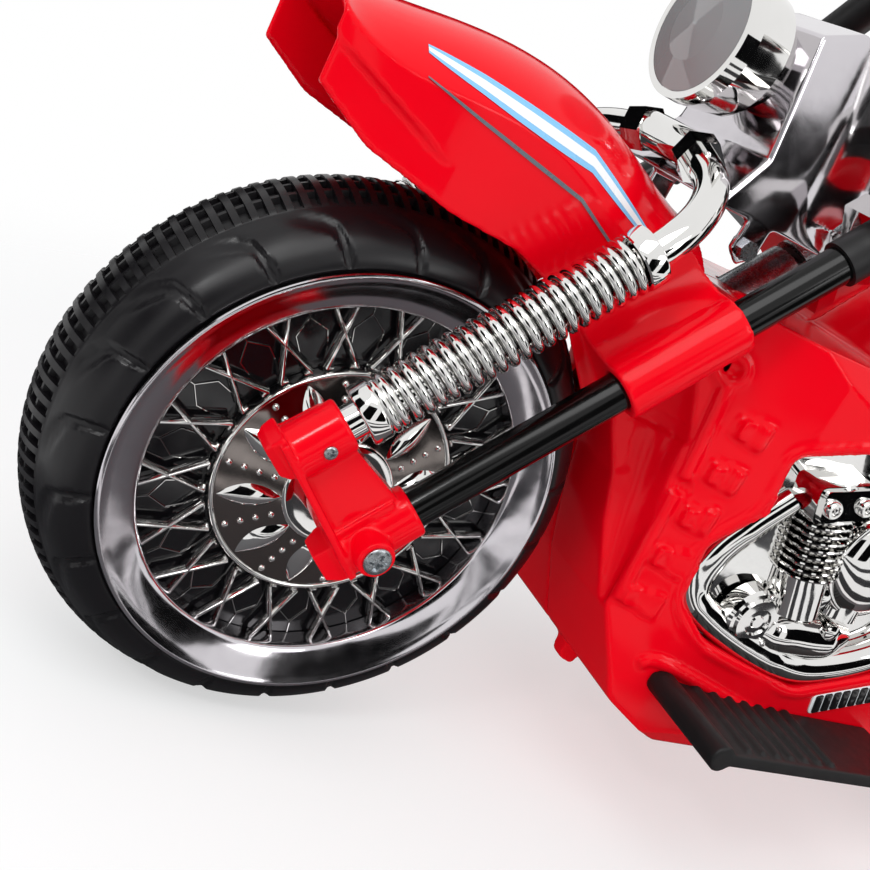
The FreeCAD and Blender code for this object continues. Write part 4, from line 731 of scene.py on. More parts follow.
    def trim(self, side: Side) -> None:
        """Build the chrome trim of one side: ring, crossed spokes and web lines.

        Args:
            side: Side to build.
        """
        s = side.value
        rim = Skin()
        rim.lathe(self.rim_ring, AXLE, LEFT * s, 192)
        place_piece(f"rim_ring_{side.word}", rim, HAZED_CHROME, self.body, "chrome_plated", sharp_angle=32)
        skin = Skin()
        pitch = math.tau / self.crosses
        foot, spread = math.radians(6.9), math.radians(3.6)
        for k in range(self.crosses):
            mid = self.cross_start + k * pitch
            for lean in (-1, 1):
                inner = (72.6, mid - lean * foot)
                self.bar(skin, inner, (109.5, mid + lean * spread), *self.spoke, s)
                self.bar(skin, inner, (72.3, mid - lean * spread), *self.spoke_foot, s)
        place_piece(f"wheel_trim_{side.word}", skin, CHROME, self.body, "chrome_plated",
                    (f"front_wheel_trim_{side.word}",), bevel_mm=0.35, bevel_angle=30, sharp_angle=32)
        lines = Skin()
        wide, narrow = math.radians(5.4), math.radians(3.2)
        branch = ((100.5, 0.0), (92, wide), (82, wide), (71, narrow))
        for k in range(self.crosses):
            gap = self.cross_start + (k + 0.5) * pitch
            self.bar(lines, (108, gap), (100.5, gap), *self.web_line, s)
            for lean in (-1, 1):
                places = [(r, gap + lean * angle) for r, angle in branch]
                for start, end in zip(places, places[1:]):
                    self.bar(lines, start, end, *self.web_line, s)
        place_piece(f"web_lines_{side.word}", lines, CHROME, self.body, "chrome_plated")
        web = Skin()
        web.lathe([(70, self.web), (109, self.web)], AXLE, LEFT * s)
        place_piece(f"web_panel_{side.word}", web, BLACK_ABS, self.body, "black_gloss")
        self.hub(side)

    def hub(self, side: Side) -> None:
        """Build the hub disc of one side with its petals, studs and bright ring.

        Args:
            side: Side to build.
        """
        s = side.value
        skin = Skin()
        skin.lathe(self.hub_disc, AXLE, LEFT * s, 160)
        # The disc's chrome is darkened in colour: a painted darker reflection.
        place_piece(f"hub_disc_{side.word}", skin, PAINTED_DARK_CHROME, self.body, "chrome_plated",
                    sharp_angle=34)
        face_r, face_y = np.array(self.hub_disc[:0:-1]).T
        bright = Skin()
        bright.lathe(self.hub_edge, AXLE, LEFT * s, 160)
        bright.lathe(self.hub_cap, AXLE, LEFT * s)
        t, across = np.linspace(0, 1, 23), np.linspace(-1, 1, 13)
        for k in range(self.petals):
            mid = self.petal_start + math.tau * k / self.petals
            rows = []
            for r, swell in zip(31.5 + 35.0 * t, np.sin(np.pi * t) ** 0.8):
                shift = across * swell * self.petal_half_width
                reach = (np.interp(r, face_r, face_y) - 0.3
                         + self.petal_rise * swell * (1 - np.abs(across) ** 1.7))
                rows.append(self.spin(np.hypot(r, shift), s * reach, mid + np.arctan2(shift, r)))
            bright.grid(np.array(rows))
            between = mid - math.radians(18)
            for r in (38.3, 46.7, 55.0, 63.4):
                place = self.spin(r, s * np.interp(r, face_r, face_y), between)
                bright.lathe(self.stud, place, LEFT * s, 14)
        place_piece(f"hub_petals_{side.word}", bright, CHROME, self.body, "chrome_plated", sharp_angle=50)

    def build(self) -> None:
        """Build the whole wheel."""
        self.tyre()
        for side in Side:
            self.trim(side)


# Springer fork


@dataclass
class SpringerFork:
    """Brackets, tubes, rods, springs and collars of the springer fork."""

    track: float = 90.0
    lead: float = 67.0
    rod: float = 9.5
    coil: float = 13.6
    wire: float = 2.7
    turns: int = 22
    body: str = "steering"

    def bracket(self, side: Side) -> Skin:
        """Skin of one moulded bracket before its edges are softened.

        Args:
            side: Side of the bracket.

        Returns:
            The gathered surface.
        """
        s = side.value
        skin = Skin()
        edge = 1.2
        for u, radius, low, high in ((self.lead + 1, 14.4, -12, 20), (0.0, 14.8, -17, 30)):
            section = [(0.05, low), (radius - edge, low), (radius, low + edge), (radius, high - edge),
                       (radius - edge, high), (0.05, high)]
            skin.lathe(section, fork((u, s * self.track, 0)), ALONG, 48)
        plate = (((-12, -15), (self.lead + 12, -11), (self.lead + 11, 14), (14, 25), (-10, 25)), -13, 19)
        bead = (((13, 22), (17, 22), (17, -12), (13, -13)), -6, 14.5)
        flange = (((-10, -17), (self.lead + 15, -13.5), (self.lead + 15, -9.5), (-10, -13)), -15, 29.5)
        for outline, inner, thick in (plate, bead, flange):
            skin.prism(fork([(u, s * (self.track + inner), w) for u, w in outline]), LEFT * s * thick)
        for u, top, foot in ((-1.0, -14, -28), (self.lead + 4, -10, -21)):
            lug = ((top, 12.5, -14, 9), (top - 7, 11.5, -13.4, 8), (foot, 9.0, -12, 4.5))
            skin.loft(np.array([fork([(u + a * half, s * (self.track + b), w)
                                      for a, b in ((-1, low), (1, low), (1, high), (-1, high))])
                                for w, half, low, high in lug]))
        end = 112.5 if side is Side.LEFT else 106.4
        skin.lathe([(0.05, 70), (14, 70), (13.0, 88), (10.2, end), (0.05, end)], AXLE, LEFT * s, 48)
        return skin

    def brackets(self) -> None:
        """Build both brackets with their screws, the axle bolt and the spacers."""
        spacers = Skin()
        for side in Side:
            s, first = side.value, side is Side.LEFT
            place_piece(f"bracket_{side.word}", self.bracket(side), RED_ABS, self.body, "red_gloss",
                        ("fork_brackets",) if first else (), voxel_mm=0.8, smoothing=5, sharp_angle=180)
            screw = Skin()
            self.cross_head(screw, fork((self.lead, s * (self.track + 14.8), 6)), LEFT * s, 3.6, 1.6)
            place_piece(f"bracket_screw_{side.word}", screw, ZINC_STEEL, self.body, "zinc_steel",
                        ("bracket_screws",) if first else ())
            spacers.lathe([(5.2, 47.6), (17.6, 47.6), (18.8, 48.4), (19, 50), (19, 72), (17, 76)],
                          AXLE, LEFT * s, 64)
        bolt = Skin()
        self.cross_head(bolt, AXLE + LEFT * 113.0, LEFT, 7.8, 2.4)
        bolt.lathe([(5, -118), (5, 106)], AXLE, LEFT, 32)
        place_piece("axle_bolt", bolt, ZINC_STEEL, self.body, "zinc_steel", ("front_axle",))
        place_piece("axle_spacer_bosses", spacers, RED_ABS, self.body, "red_gloss", ("axle_spacers",))

    def cross_head(self, skin: Skin, centre: np.ndarray, axis: np.ndarray, radius: float,
                   rise: float) -> None:
        """Add a domed screw head with a cross recess.

        Args:
            skin: Skin that gets the head.
            centre: World point under the middle of the head.
            axis: Outward direction.
            radius: Radius of the head.
            rise: Height of its middle.
        """
        one, two, up = cross_frame(axis)
        r = np.linspace(0.02, 1, 15)
        a = np.linspace(0, 2 * math.pi, 72, endpoint=False)
        rr, aa = np.meshgrid(r, a, indexing="ij")
        x, y = rr * np.cos(aa), rr * np.sin(aa)
        dome = rise * (1 - 0.55 * rr ** 2.4)
        dome = np.where(rr > 0.97, dome - rise * 0.2, dome)
        arm = np.minimum(np.abs(x), np.abs(y))
        reach = np.maximum(np.abs(x), np.abs(y))
        recess = (1 - soft_step(0.11, 0.2, arm)) * (1 - soft_step(0.52, 0.66, reach))
        height = dome - recess * rise * 0.95
        rows = centre + radius * (x[..., None] * one + y[..., None] * two) + height[..., None] * up
        skin.grid(rows, close_columns=True)
        skin.lathe([(radius, rise * 0.25), (radius, -1.5)], centre, axis, 48)

    def springs(self) -> None:
        """Build the cups of the springs and the coils between them."""
        bore = self.rod + 0.2
        cups = (((bore, 38.4), (15.4, 38.4), (16.1, 37.6), (16.3, 36.6), (16.3, 28.6), (15.9, 27.8),
                 (15.0, 27.4), (bore, 27.4)),
                ((bore, 186.4), (15.4, 186.4), (16.3, 187.2), (16.5, 188.4), (16.5, 196.4), (16.1, 197.4),
                 (15.2, 197.9), (bore, 197.9)))
        skin = Skin()
        for side in Side:
            for section in cups:
                skin.lathe(section, fork((self.lead, side.value * self.track, 0)), ALONG, 64)
        place_piece("spring_cups", skin, CHROME, self.body, "chrome_plated", ("spring_collars",),
                    sharp_angle=30)
        low, high, closed = 39.5, 185.5, 4.2
        angle = np.linspace(0, math.tau * self.turns, self.turns * 40)
        rise = np.interp(angle, (0, math.tau, angle[-1] - math.tau, angle[-1]),
                         (low, low + closed, high - closed, high))
        for side in Side:
            coil = Skin()
            across = side.value * self.track + self.coil * np.sin(angle)
            uvw = np.stack([self.lead + self.coil * np.cos(angle), across, rise], -1)
            coil.tube(fork(uvw), self.wire, 12)
            place_piece(f"coil_{side.word}", coil, CHROME, self.body, "chrome_plated",
                        (f"fork_spring_{side.word}",), sharp_angle=60)

    def build(self) -> None:
        """Build the fork."""
        self.brackets()
        self.springs()


# Body


# Window of the engine in the body's side, as places ahead of and above the front axle.
WINDOW = round_outline(((-284, 142), (-240, 122), (-246, 83), (-224, 50), (-229, 10), (-257, -10),
                        (-345, -24), (-420, 4), (-438, 70), (-410, 130), (-350, 148)), 14)
WINDOW_MIDDLE = np.array((-330.0, 62.0))


@dataclass
class BodyShell:
    """Moulded body halves with the beads, borders and lips of their tool."""

    beads: tuple = (((-172, 172), (-177, 161)), ((-183, 143), (-187, 110), (-190, 81)),
                    ((-190, 71), (-192, 30), (-194, -6)))
    recess: tuple = (-181, 152)
    recess_radius: float = 8.6
    pads: tuple = ((-205, 124, 6, 6.5), (-204, 92, 6, 6.5), (-204, 61, 6, 6.5), (-202, 31, 6, 6.5),
                   (-199, 0, 6, 6.5), (-214.5, 124, 3.4, 8), (-214.5, 93, 3.4, 8), (-213.5, 64, 3.4, 8))
    lug: tuple = ((-243, -92), (-228, -88), (-226, -70), (-246, -74))
    lip: tuple = ((-226, -40), (-236, -34), (-262, -37), (-300, -44), (-345, -50), (-380, -52))
    body: str = "chassis"

    def on_flank(self, tree: BVHTree, line: Sequence, side: float, sink: float, count: int) -> np.ndarray:
        """World points of a smooth line laid on the body's side.

        Args:
            tree: Search tree of that body half.
            line: Places ahead of and above the front axle.
            side: 1 on the left and -1 on the right.
            sink: Depth of the line under the surface.
            count: Number of points.

        Returns:
            The points, in millimetres.
        """
        places = smooth_line(line, count)
        reach = np.array([flank(tree, x, z, side) for x, z in places])
        kernel = np.array((1, 2, 3, 2, 1)) / 9
        reach = np.convolve(np.pad(reach, 2, mode="edge"), kernel, mode="valid")
        return upright(places, side * (reach - sink))

    def half(self, side: Side) -> None:
        """Build one half: its solid with the raised lines, softened as a moulding.

        Args:
            side: Side to build.
        """
        s = side.value
        node = f"body_{side.word}"
        tree = node_tree(node)
        skin = Skin()
        skin.solid(node)
        for bead in self.beads:
            skin.tube(self.on_flank(tree, bead, s, 1.2, 40), 5.0, 16)
        turn = np.linspace(0, math.tau, 41)
        ring = np.array(self.recess) + self.recess_radius * np.stack([np.cos(turn), np.sin(turn)], -1)
        skin.tube(self.on_flank(tree, ring, s, 1.4, 60), 3.6, 12)
        for x, z, *half in self.pads:
            base = upright(round_box((x, z), half, 3), s * (flank(tree, x, z, s) - 4))
            skin.prism(base, LEFT * s * 6.0)
        away = WINDOW - WINDOW_MIDDLE
        border = WINDOW + away / np.linalg.norm(away, axis=1, keepdims=True) * 5.5
        skin.tube(self.on_flank(tree, np.vstack([border, border[:1]]), s, 3.4, 220), 5.0, 14)
        skin.tube(self.on_flank(tree, self.lip, s, 1.5, 60), 5.0, 16)
        if side is Side.LEFT:
            skin.prism(upright(round_outline(self.lug, 5), 14), LEFT * 12)
        boss = [(0.05, -12), (13, -12), (14, 9), (12.6, 11.6), (0.05, 12.4)]
        skin.lathe(boss, AXLE + np.array((-196.0, s * 40.0, 178.0)), (0, 0, 1), 32)
        place_piece(f"body_shell_{side.word}", skin, RED_ABS, self.body, "red_gloss", (node,),
                    voxel_mm=1.5, smoothing=7, keep_share=0.4, sharp_angle=180)

    def build(self) -> None:
        """Build both halves."""
        for side in Side:
            self.half(side)


# Engine fronts


@dataclass
class EngineFront:
    """Chromed engine front in the window: two finned barrels, covers, a bent pipe and an air cleaner."""

    fins: int = 9
    depth: float = 14.0
    fins_foot: float = 0.3
    fins_share: float = 0.48
    box_middle: float = 0.87
    body: str = "chassis"

    def reach(self, x: float) -> float:
        """Reach of the pocket's floor at a place ahead of the front axle."""
        return float(np.interp(x, (-330, -313, -245, -212, -186), (112, 112, 98, 87, 74))) - self.depth

    def spot(self, side: float, x: float, z: float, out: float = 0.0) -> np.ndarray:
        """World point over the pocket's floor."""
        return np.array((AXLE[0] + x, side * (self.reach(x) + out), AXLE[2] + z))

    def barrel(self, skin: Skin, side: float, foot: Sequence, top: Sequence, radius: float) -> None:
        """Add a finned barrel with its rocker box and two round bolts.

        Args:
            skin: Skin that gets the barrel.
            side: 1 on the left and -1 on the right.
            foot: Place of the lower end.
            top: Place of the upper end.
            radius: Radius over the fins.
        """
        low, high = self.spot(side, *foot), self.spot(side, *top)
        length = float(np.linalg.norm(high - low))
        section = [(0.05, 0), (radius * 0.8, 0), (radius * 0.78, length * self.fins_foot)]
        pitch = length * self.fins_share / self.fins
        fin = ((0.74, 0.0), (1.0, 0.16), (1.02, 0.34), (1.0, 0.52), (0.74, 0.7))
        for k in range(self.fins):
            section += [(radius * wide, length * self.fins_foot + (k + rise) * pitch) for wide, rise in fin]
        head = ((0.86, 0.8), (0.92, 0.84), (0.92, 0.95), (0.8, 1.0))
        section += [(radius * wide, length * rise) for wide, rise in head] + [(0.05, length)]
        skin.lathe(section, low, high - low, 48)
        across = np.cross(high - low, LEFT)
        across /= np.linalg.norm(across)
        up, out = (high - low) / length, LEFT * side * radius
        crown = low + (high - low) * self.box_middle
        box = round_box((0.0, 0.035), (1.1, 0.585), 0.25) * radius
        for share, start, rise in ((1.0, -0.4, 1.22), (0.86, 0.7, 0.24)):
            skin.prism(np.array([crown + (across * a + up * b) * share + out * start for a, b in box]),
                       out * rise)
        bolt = ((0.05, 4.4), (1.6, 4.2), (2.0, 3.2), (3.2, 3.2), (3.6, 4.3), (5.0, 4.3), (5.8, 3.2),
                (6.2, 0.4), (6.2, -4))
        for shift in (-0.62, 0.62):
            skin.lathe(bolt, crown + across * radius * shift + out * 0.92, LEFT * side, 28)

    def front(self, side: Side) -> None:
        """Build the engine front of one side.

        Args:
            side: Side to build.
        """
        s = side.value
        skin = Skin()
        edge = WINDOW - WINDOW_MIDDLE
        skin.grid(np.array([[self.spot(s, *(WINDOW_MIDDLE + corner * share), -1.0) for corner in edge]
                            for share in np.linspace(0.02, 1.01, 16)]), close_columns=True)
        self.barrel(skin, s, (-310, 28, 2), (-281, 120, 0), 21.0)
        self.barrel(skin, s, (-346, 34, 2), (-338, 128, 0), 19.0)
        pipe = smooth_line([(-262, 96), (-247, 70), (-237, 44), (-238, 16), (-262, 2), (-306, -8),
                            (-352, -10), (-408, 14), (-425, 52)], 90)
        skin.tube(np.array([self.spot(s, x, z, 5.0) for x, z in pipe]),
                  11.0 - 2.0 * np.linspace(1, 0, len(pipe)) ** 3, 28, 0.85)
        cover_x, cover_z, screws, screw_circle = -284, 14, 8, 18.6
        skin.lathe([(0.05, 12.5), (4, 12.5), (5, 11.4), (9, 11.2), (10, 12.6), (16, 12.4), (17.4, 10.6),
                    (20, 10.2), (22, 8), (22.4, -2)], self.spot(s, cover_x, cover_z), LEFT * s, 64)
        for k in range(screws):
            a = math.tau * k / screws
            place = (cover_x + screw_circle * math.cos(a), cover_z + screw_circle * math.sin(a), 10.2)
            skin.lathe([(0.05, 2.4), (1.6, 2.1), (2.3, 1.0), (2.4, -2)], self.spot(s, *place), LEFT * s, 12)
        sump = smooth_line([(-292, 6), (-318, 8), (-345, 10), (-372, 16)], 24)
        skin.tube(np.array([self.spot(s, x, z) for x, z in sump]),
                  np.interp(np.linspace(0, 1, len(sump)), (0, 0.15, 0.8, 1), (9, 16, 16, 9)), 32, 0.8)
        for x, z, r in ((-346, 22, 6.5), (-318, 44, 8.5), (-302, 60, 5.0)):
            skin.lathe([(0.05, 13), (r * 0.5, 12.8), (r * 0.9, 12), (r, 10.6), (r * 1.02, -2)],
                       self.spot(s, x, z), LEFT * s, 32)
        place_piece(f"engine_front_{side.word}", skin, CHROME, self.body, "chrome_plated",
                    ("engine_fronts",) if side is Side.LEFT else (), sharp_angle=38)
        cleaner = Skin()
        cleaner.lathe([(39, -1), (39.4, 2), (38.6, 4.2), (36.6, 5.2), (35.6, 5.0), (34.6, 6.2), (31, 9.4),
                       (26, 11.8), (19, 13.4), (10, 14.2), (0.05, 14.4)],
                      self.spot(s, -346, 76, 8.0), LEFT * s)
        place_piece(f"air_cleaner_{side.word}", cleaner, CHROME, self.body, "chrome_plated")

    def build(self) -> None:
        """Build both engine fronts."""
        for side in Side:
            self.front(side)


# Stripes and vents


def fender_edge(x: np.ndarray) -> np.ndarray:
    """Height of the front fender's lower edge over the front axle, at places ahead of it."""
    return np.interp(x, (-146, -104, -40, 35, 112), (162, 130, 167, 190, 222))


@dataclass
class FenderStripes:
    """Plain tapered stripes of vinyl film along the flanks of the front fender."""

    front: float = 66.0
    back: float = -100.0
    steps: int = 70
    film: float = 0.45
    overlap: float = 0.12
    body: str = "steering"

    def build(self) -> None:
        """Lay each stripe on the fender's surface."""
        tree = node_tree("front_fender")
        xs = np.linspace(self.front, self.back, self.steps)
        low = fender_edge(xs)
        high = np.interp(xs, (-146, -104, -40, 35, 112), (212, 226, 248, 250, 244))
        taper = np.sin(np.linspace(0.04, 0.96, self.steps) * math.pi) ** 0.6
        bands = ((VINYL_BLUE, 0.66, 11.0), (VINYL_WHITE, 0.66, 5.0), (VINYL_GREY, 0.42, 2.2))
        for number, (finish, share, width) in enumerate(bands):
            skin = Skin()
            for side in Side:
                s, rows = side.value, []
                for x, middle, narrow in zip(xs, low + (high - low) * share, taper):
                    places = [(x, z) for z in middle + np.linspace(-0.5, 0.5, 6) * width * narrow]
                    reach = [flank(tree, x, z, s) + self.film + self.overlap * number for x, z in places]
                    rows.append(upright(places, s * np.array(reach)))
                skin.grid(np.array(rows))
            place_piece(f"stripe_{finish.name}", skin, finish, self.body, "red_gloss")


@dataclass
class SideVents:
    """Slatted vents low on the sides: black bars on a pale backing."""

    length: float = 74.0
    lean: float = math.radians(20.0)
    bars: int = 9
    body: str = "chassis"

    def build(self) -> None:
        """Build both vents on the boxes of their solids."""
        low, high = (np.array(corner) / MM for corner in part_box("side_vents"))
        centre = np.array(((low[0] + high[0]) / 2, 0.0, (low[2] + high[2]) / 2))
        along = np.array((math.cos(self.lean), 0.0, -math.sin(self.lean)))
        rise = np.array((math.sin(self.lean), 0.0, math.cos(self.lean)))
        bars, backing = Skin(), Skin()
        pitch = (self.length - 4) / self.bars
        slats = [round_box(((k - (self.bars - 1) / 2) * pitch, 0.0), (pitch * 0.4, 7.4), 1.5, 4)
                 for k in range(self.bars)]
        plate = round_box((0.0, 0.0), (self.length / 2, 8), 4, 6)
        for side in Side:
            out = LEFT * side.value
            for skin, outlines, sink, thick in ((bars, slats, 1.6, 1.6), (backing, [plate], 2.4, 1.5)):
                base = centre + out * (high[1] - sink)
                for outline in outlines:
                    skin.prism(np.array([base + along * a + rise * b for a, b in outline]), out * thick)
        place_piece("vent_bars", bars, BLACK_ABS, self.body, "black_matte", ("side_vents",), bevel_mm=0.4)
        place_piece("vent_backing", backing, VINYL_WHITE, self.body, "black_matte", bevel_mm=0.3)


# Rear wheels


@dataclass
class RearWheels:
    """Rear tyres with block treads, under the rear fenders."""

    bars: int = 84
    rim: float = 92.0
    half_width: float = 41.0
    block_height: float = 3.2

    def tyre(self, side: Side) -> None:
        """Build one rear tyre inside the box of its solid.

        Args:
            side: Side to build.
        """
        node = f"rear_tyre_{side.word}"
        low, high = (np.array(corner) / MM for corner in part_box(node))
        middle, radius = (low[1] + high[1]) / 2, (high[2] - low[2]) / 2
        deep = radius - self.rim
        share = np.array([0.0, 0.12, 0.28, 0.34, 0.66, 0.72, 0.88])
        phi = ((np.arange(self.bars)[:, None] + share) / self.bars * math.tau).ravel()
        bar = np.tile(np.array([0, 0, 0, 1, 1, 0, 0], float), self.bars)
        wall = ((0.62, 0.16), (0.74, 0.24), (0.84, 0.36), (0.92, 0.5), (0.97, 0.66), (1.0, 0.82),
                (0.99, 0.92), (0.94, 1.0), (0.9, 1.03), (0.88, 1.1), (0.62, 1.12), (0.61, 1.4),
                (0.61, 1.85))
        crown = ((0.6, 0.1, 0), (0.56, 0.09, 1), (0.44, 0.05, 1), (0.4, 0.045, 0), (0.3, 0.03, 0),
                 (0.27, 0.02, 1), (0.12, 0.005, 1), (0.09, 0.0, 0), (0.0, 0.0, 0))
        half = [(y, drop, 1) for y, drop in reversed(wall)] + list(crown)
        rows = []
        for y, drop, block in half + [(-y, drop, block) for y, drop, block in reversed(half)]:
            r = radius - deep * drop - self.block_height * (1 - block) * (1 - bar)
            reach = np.full(phi.shape, middle + self.half_width * y)
            rows.append(np.stack([REAR[0] + r * np.cos(phi), reach, REAR[2] + r * np.sin(phi)], -1))
        skin = Skin()
        skin.grid(np.array(rows), close_columns=True)
        skin.lathe([(22.6, -39), (22.6, 39)], REAR + LEFT * middle, LEFT, 48)
        place_piece(f"tyre_rear_{side.word}", skin, TYRE_HDPE, f"rear_wheel_{side.word}", "tyre_black",
                    (node,))

    def build(self) -> None:
        """Build both rear tyres."""
        for side in Side:
            self.tyre(side)


# Softened mouldings


@dataclass(frozen=True)
class Moulding:
    """A moulded piece that keeps its solid's form, with the edges softened as the tool leaves them."""

    name: str
    node: str
    finish: Finish
    body: str
    slot: str
    voxel_mm: float = 1.2
    smoothing: int = 6
    keep_share: float = 0.4
    extra: Optional[Callable[[Skin], None]] = None
    draw: Optional[Callable[[np.ndarray], np.ndarray]] = None

    def build(self) -> None:
        """Build the piece from its solid."""
        skin = Skin()
        skin.solid(self.node)
        if self.extra:
            self.extra(skin)
        obj = place_piece(self.name, skin, self.finish, self.body, self.slot, (self.node,),
                          voxel_mm=self.voxel_mm, smoothing=self.smoothing, keep_share=self.keep_share,
                          sharp_angle=180)
        if self.draw:
            flat = np.empty(len(obj.data.vertices) * 3)
            obj.data.vertices.foreach_get("co", flat)
            obj.data.vertices.foreach_set("co", (self.draw(flat.reshape(-1, 3) / MM) * MM).ravel())
            obj.data.update()


def fender_skirts(skin: Skin) -> None:
    """Add the skirts that hang under the flanks of the front fender.

    Args:
        skin: Skin that gets the skirts.
    """
    half, wall, lap = 60, 3.2, 7
    for side in Side:
        rings = []
        for x in np.linspace(110, -116, 60):
            edge = fender_edge(x) + lap
            foot = np.interp(x, (-116, -104, -60, -21, 23, 77, 110), (108, 104, 150, 164, 168, 180, 198))
            y = half * np.interp(x, (-146, -104, 35, 112), (0.9, 1, 1, 0.82))
            rings.append([(AXLE[0] + x, side.value * a, AXLE[2] + b)
                          for a, b in ((y - wall, edge), (y, edge), (y, foot), (y - wall, foot))])
        skin.loft(np.array(rings))


def cowl_sides(points: np.ndarray) -> np.ndarray:
    """Draw the cowl's sides in towards its top and its back, as its tool is drafted.

    Args:
        points: World points of the cowl, in millimetres.

    Returns:
        The points after the draft.
    """
    x, z = points[:, 0] - AXLE[0], points[:, 2] - AXLE[2]
    foot, rise, middle, run, draft = 229, 116, -178, 70, 0.4
    height = np.clip((z - foot) / rise, 0, 1)
    back = soft_step(0.0, 1.0, np.clip((middle - x) / run, 0, 1))
    drawn = points.copy()
    drawn[:, 1] *= (1 - draft * height ** 1.15) * (1 - draft * back * np.clip(height * 8, 0, 1))
    return drawn


MOULDINGS = (
    Moulding("fender_front", "front_fender", RED_ABS, "steering", "red_gloss", 1.3, 6, 0.35,
             extra=fender_skirts),
    Moulding("cowl", "steering_cowl", HAZED_CHROME, "steering", "chrome_plated", 1.2, 8, 0.35,
             draw=cowl_sides),
    Moulding("saddle", "seat", BLACK_PP, "chassis", "black_matte", 2.0, 6, 0.5),
    Moulding("fenders_rear", "rear_fenders", RED_ABS, "chassis", "red_gloss", 1.6, 5, 0.25),
    *(Moulding(f"foot_rest_{side.word}", f"footboard_{side.word}", BLACK_PP, "chassis", "black_matte",
               smoothing=3) for side in Side),
)


# Studio


def face(obj: bpy.types.Object, place: Sequence, aim: Sequence) -> None:
    """Add a lamp or card of the studio to the scene.

    Args:
        obj: The new object.
        place: World place in metres.
        aim: World point that it faces.
    """
    obj.location = Vector(place)
    obj.rotation_euler = (Vector(aim) - Vector(place)).to_track_quat("-Z", "Y").to_euler()
    bpy.context.scene.collection.objects.link(obj)


def sheet(name: str, wide: float, high: float) -> bpy.types.Object:
    """Flat sheet with its middle at the origin.

    Args:
        name: Name of the sheet.
        wide: Width in metres.
        high: Height in metres.

    Returns:
        The new object, not yet in the scene.
    """
    mesh = bpy.data.meshes.new(name)
    x, y = wide / 2, high / 2
    mesh.from_pydata([(-x, -y, 0), (x, -y, 0), (x, y, 0), (-x, y, 0)], [], [(0, 1, 2, 3)])
    return bpy.data.objects.new(name, mesh)


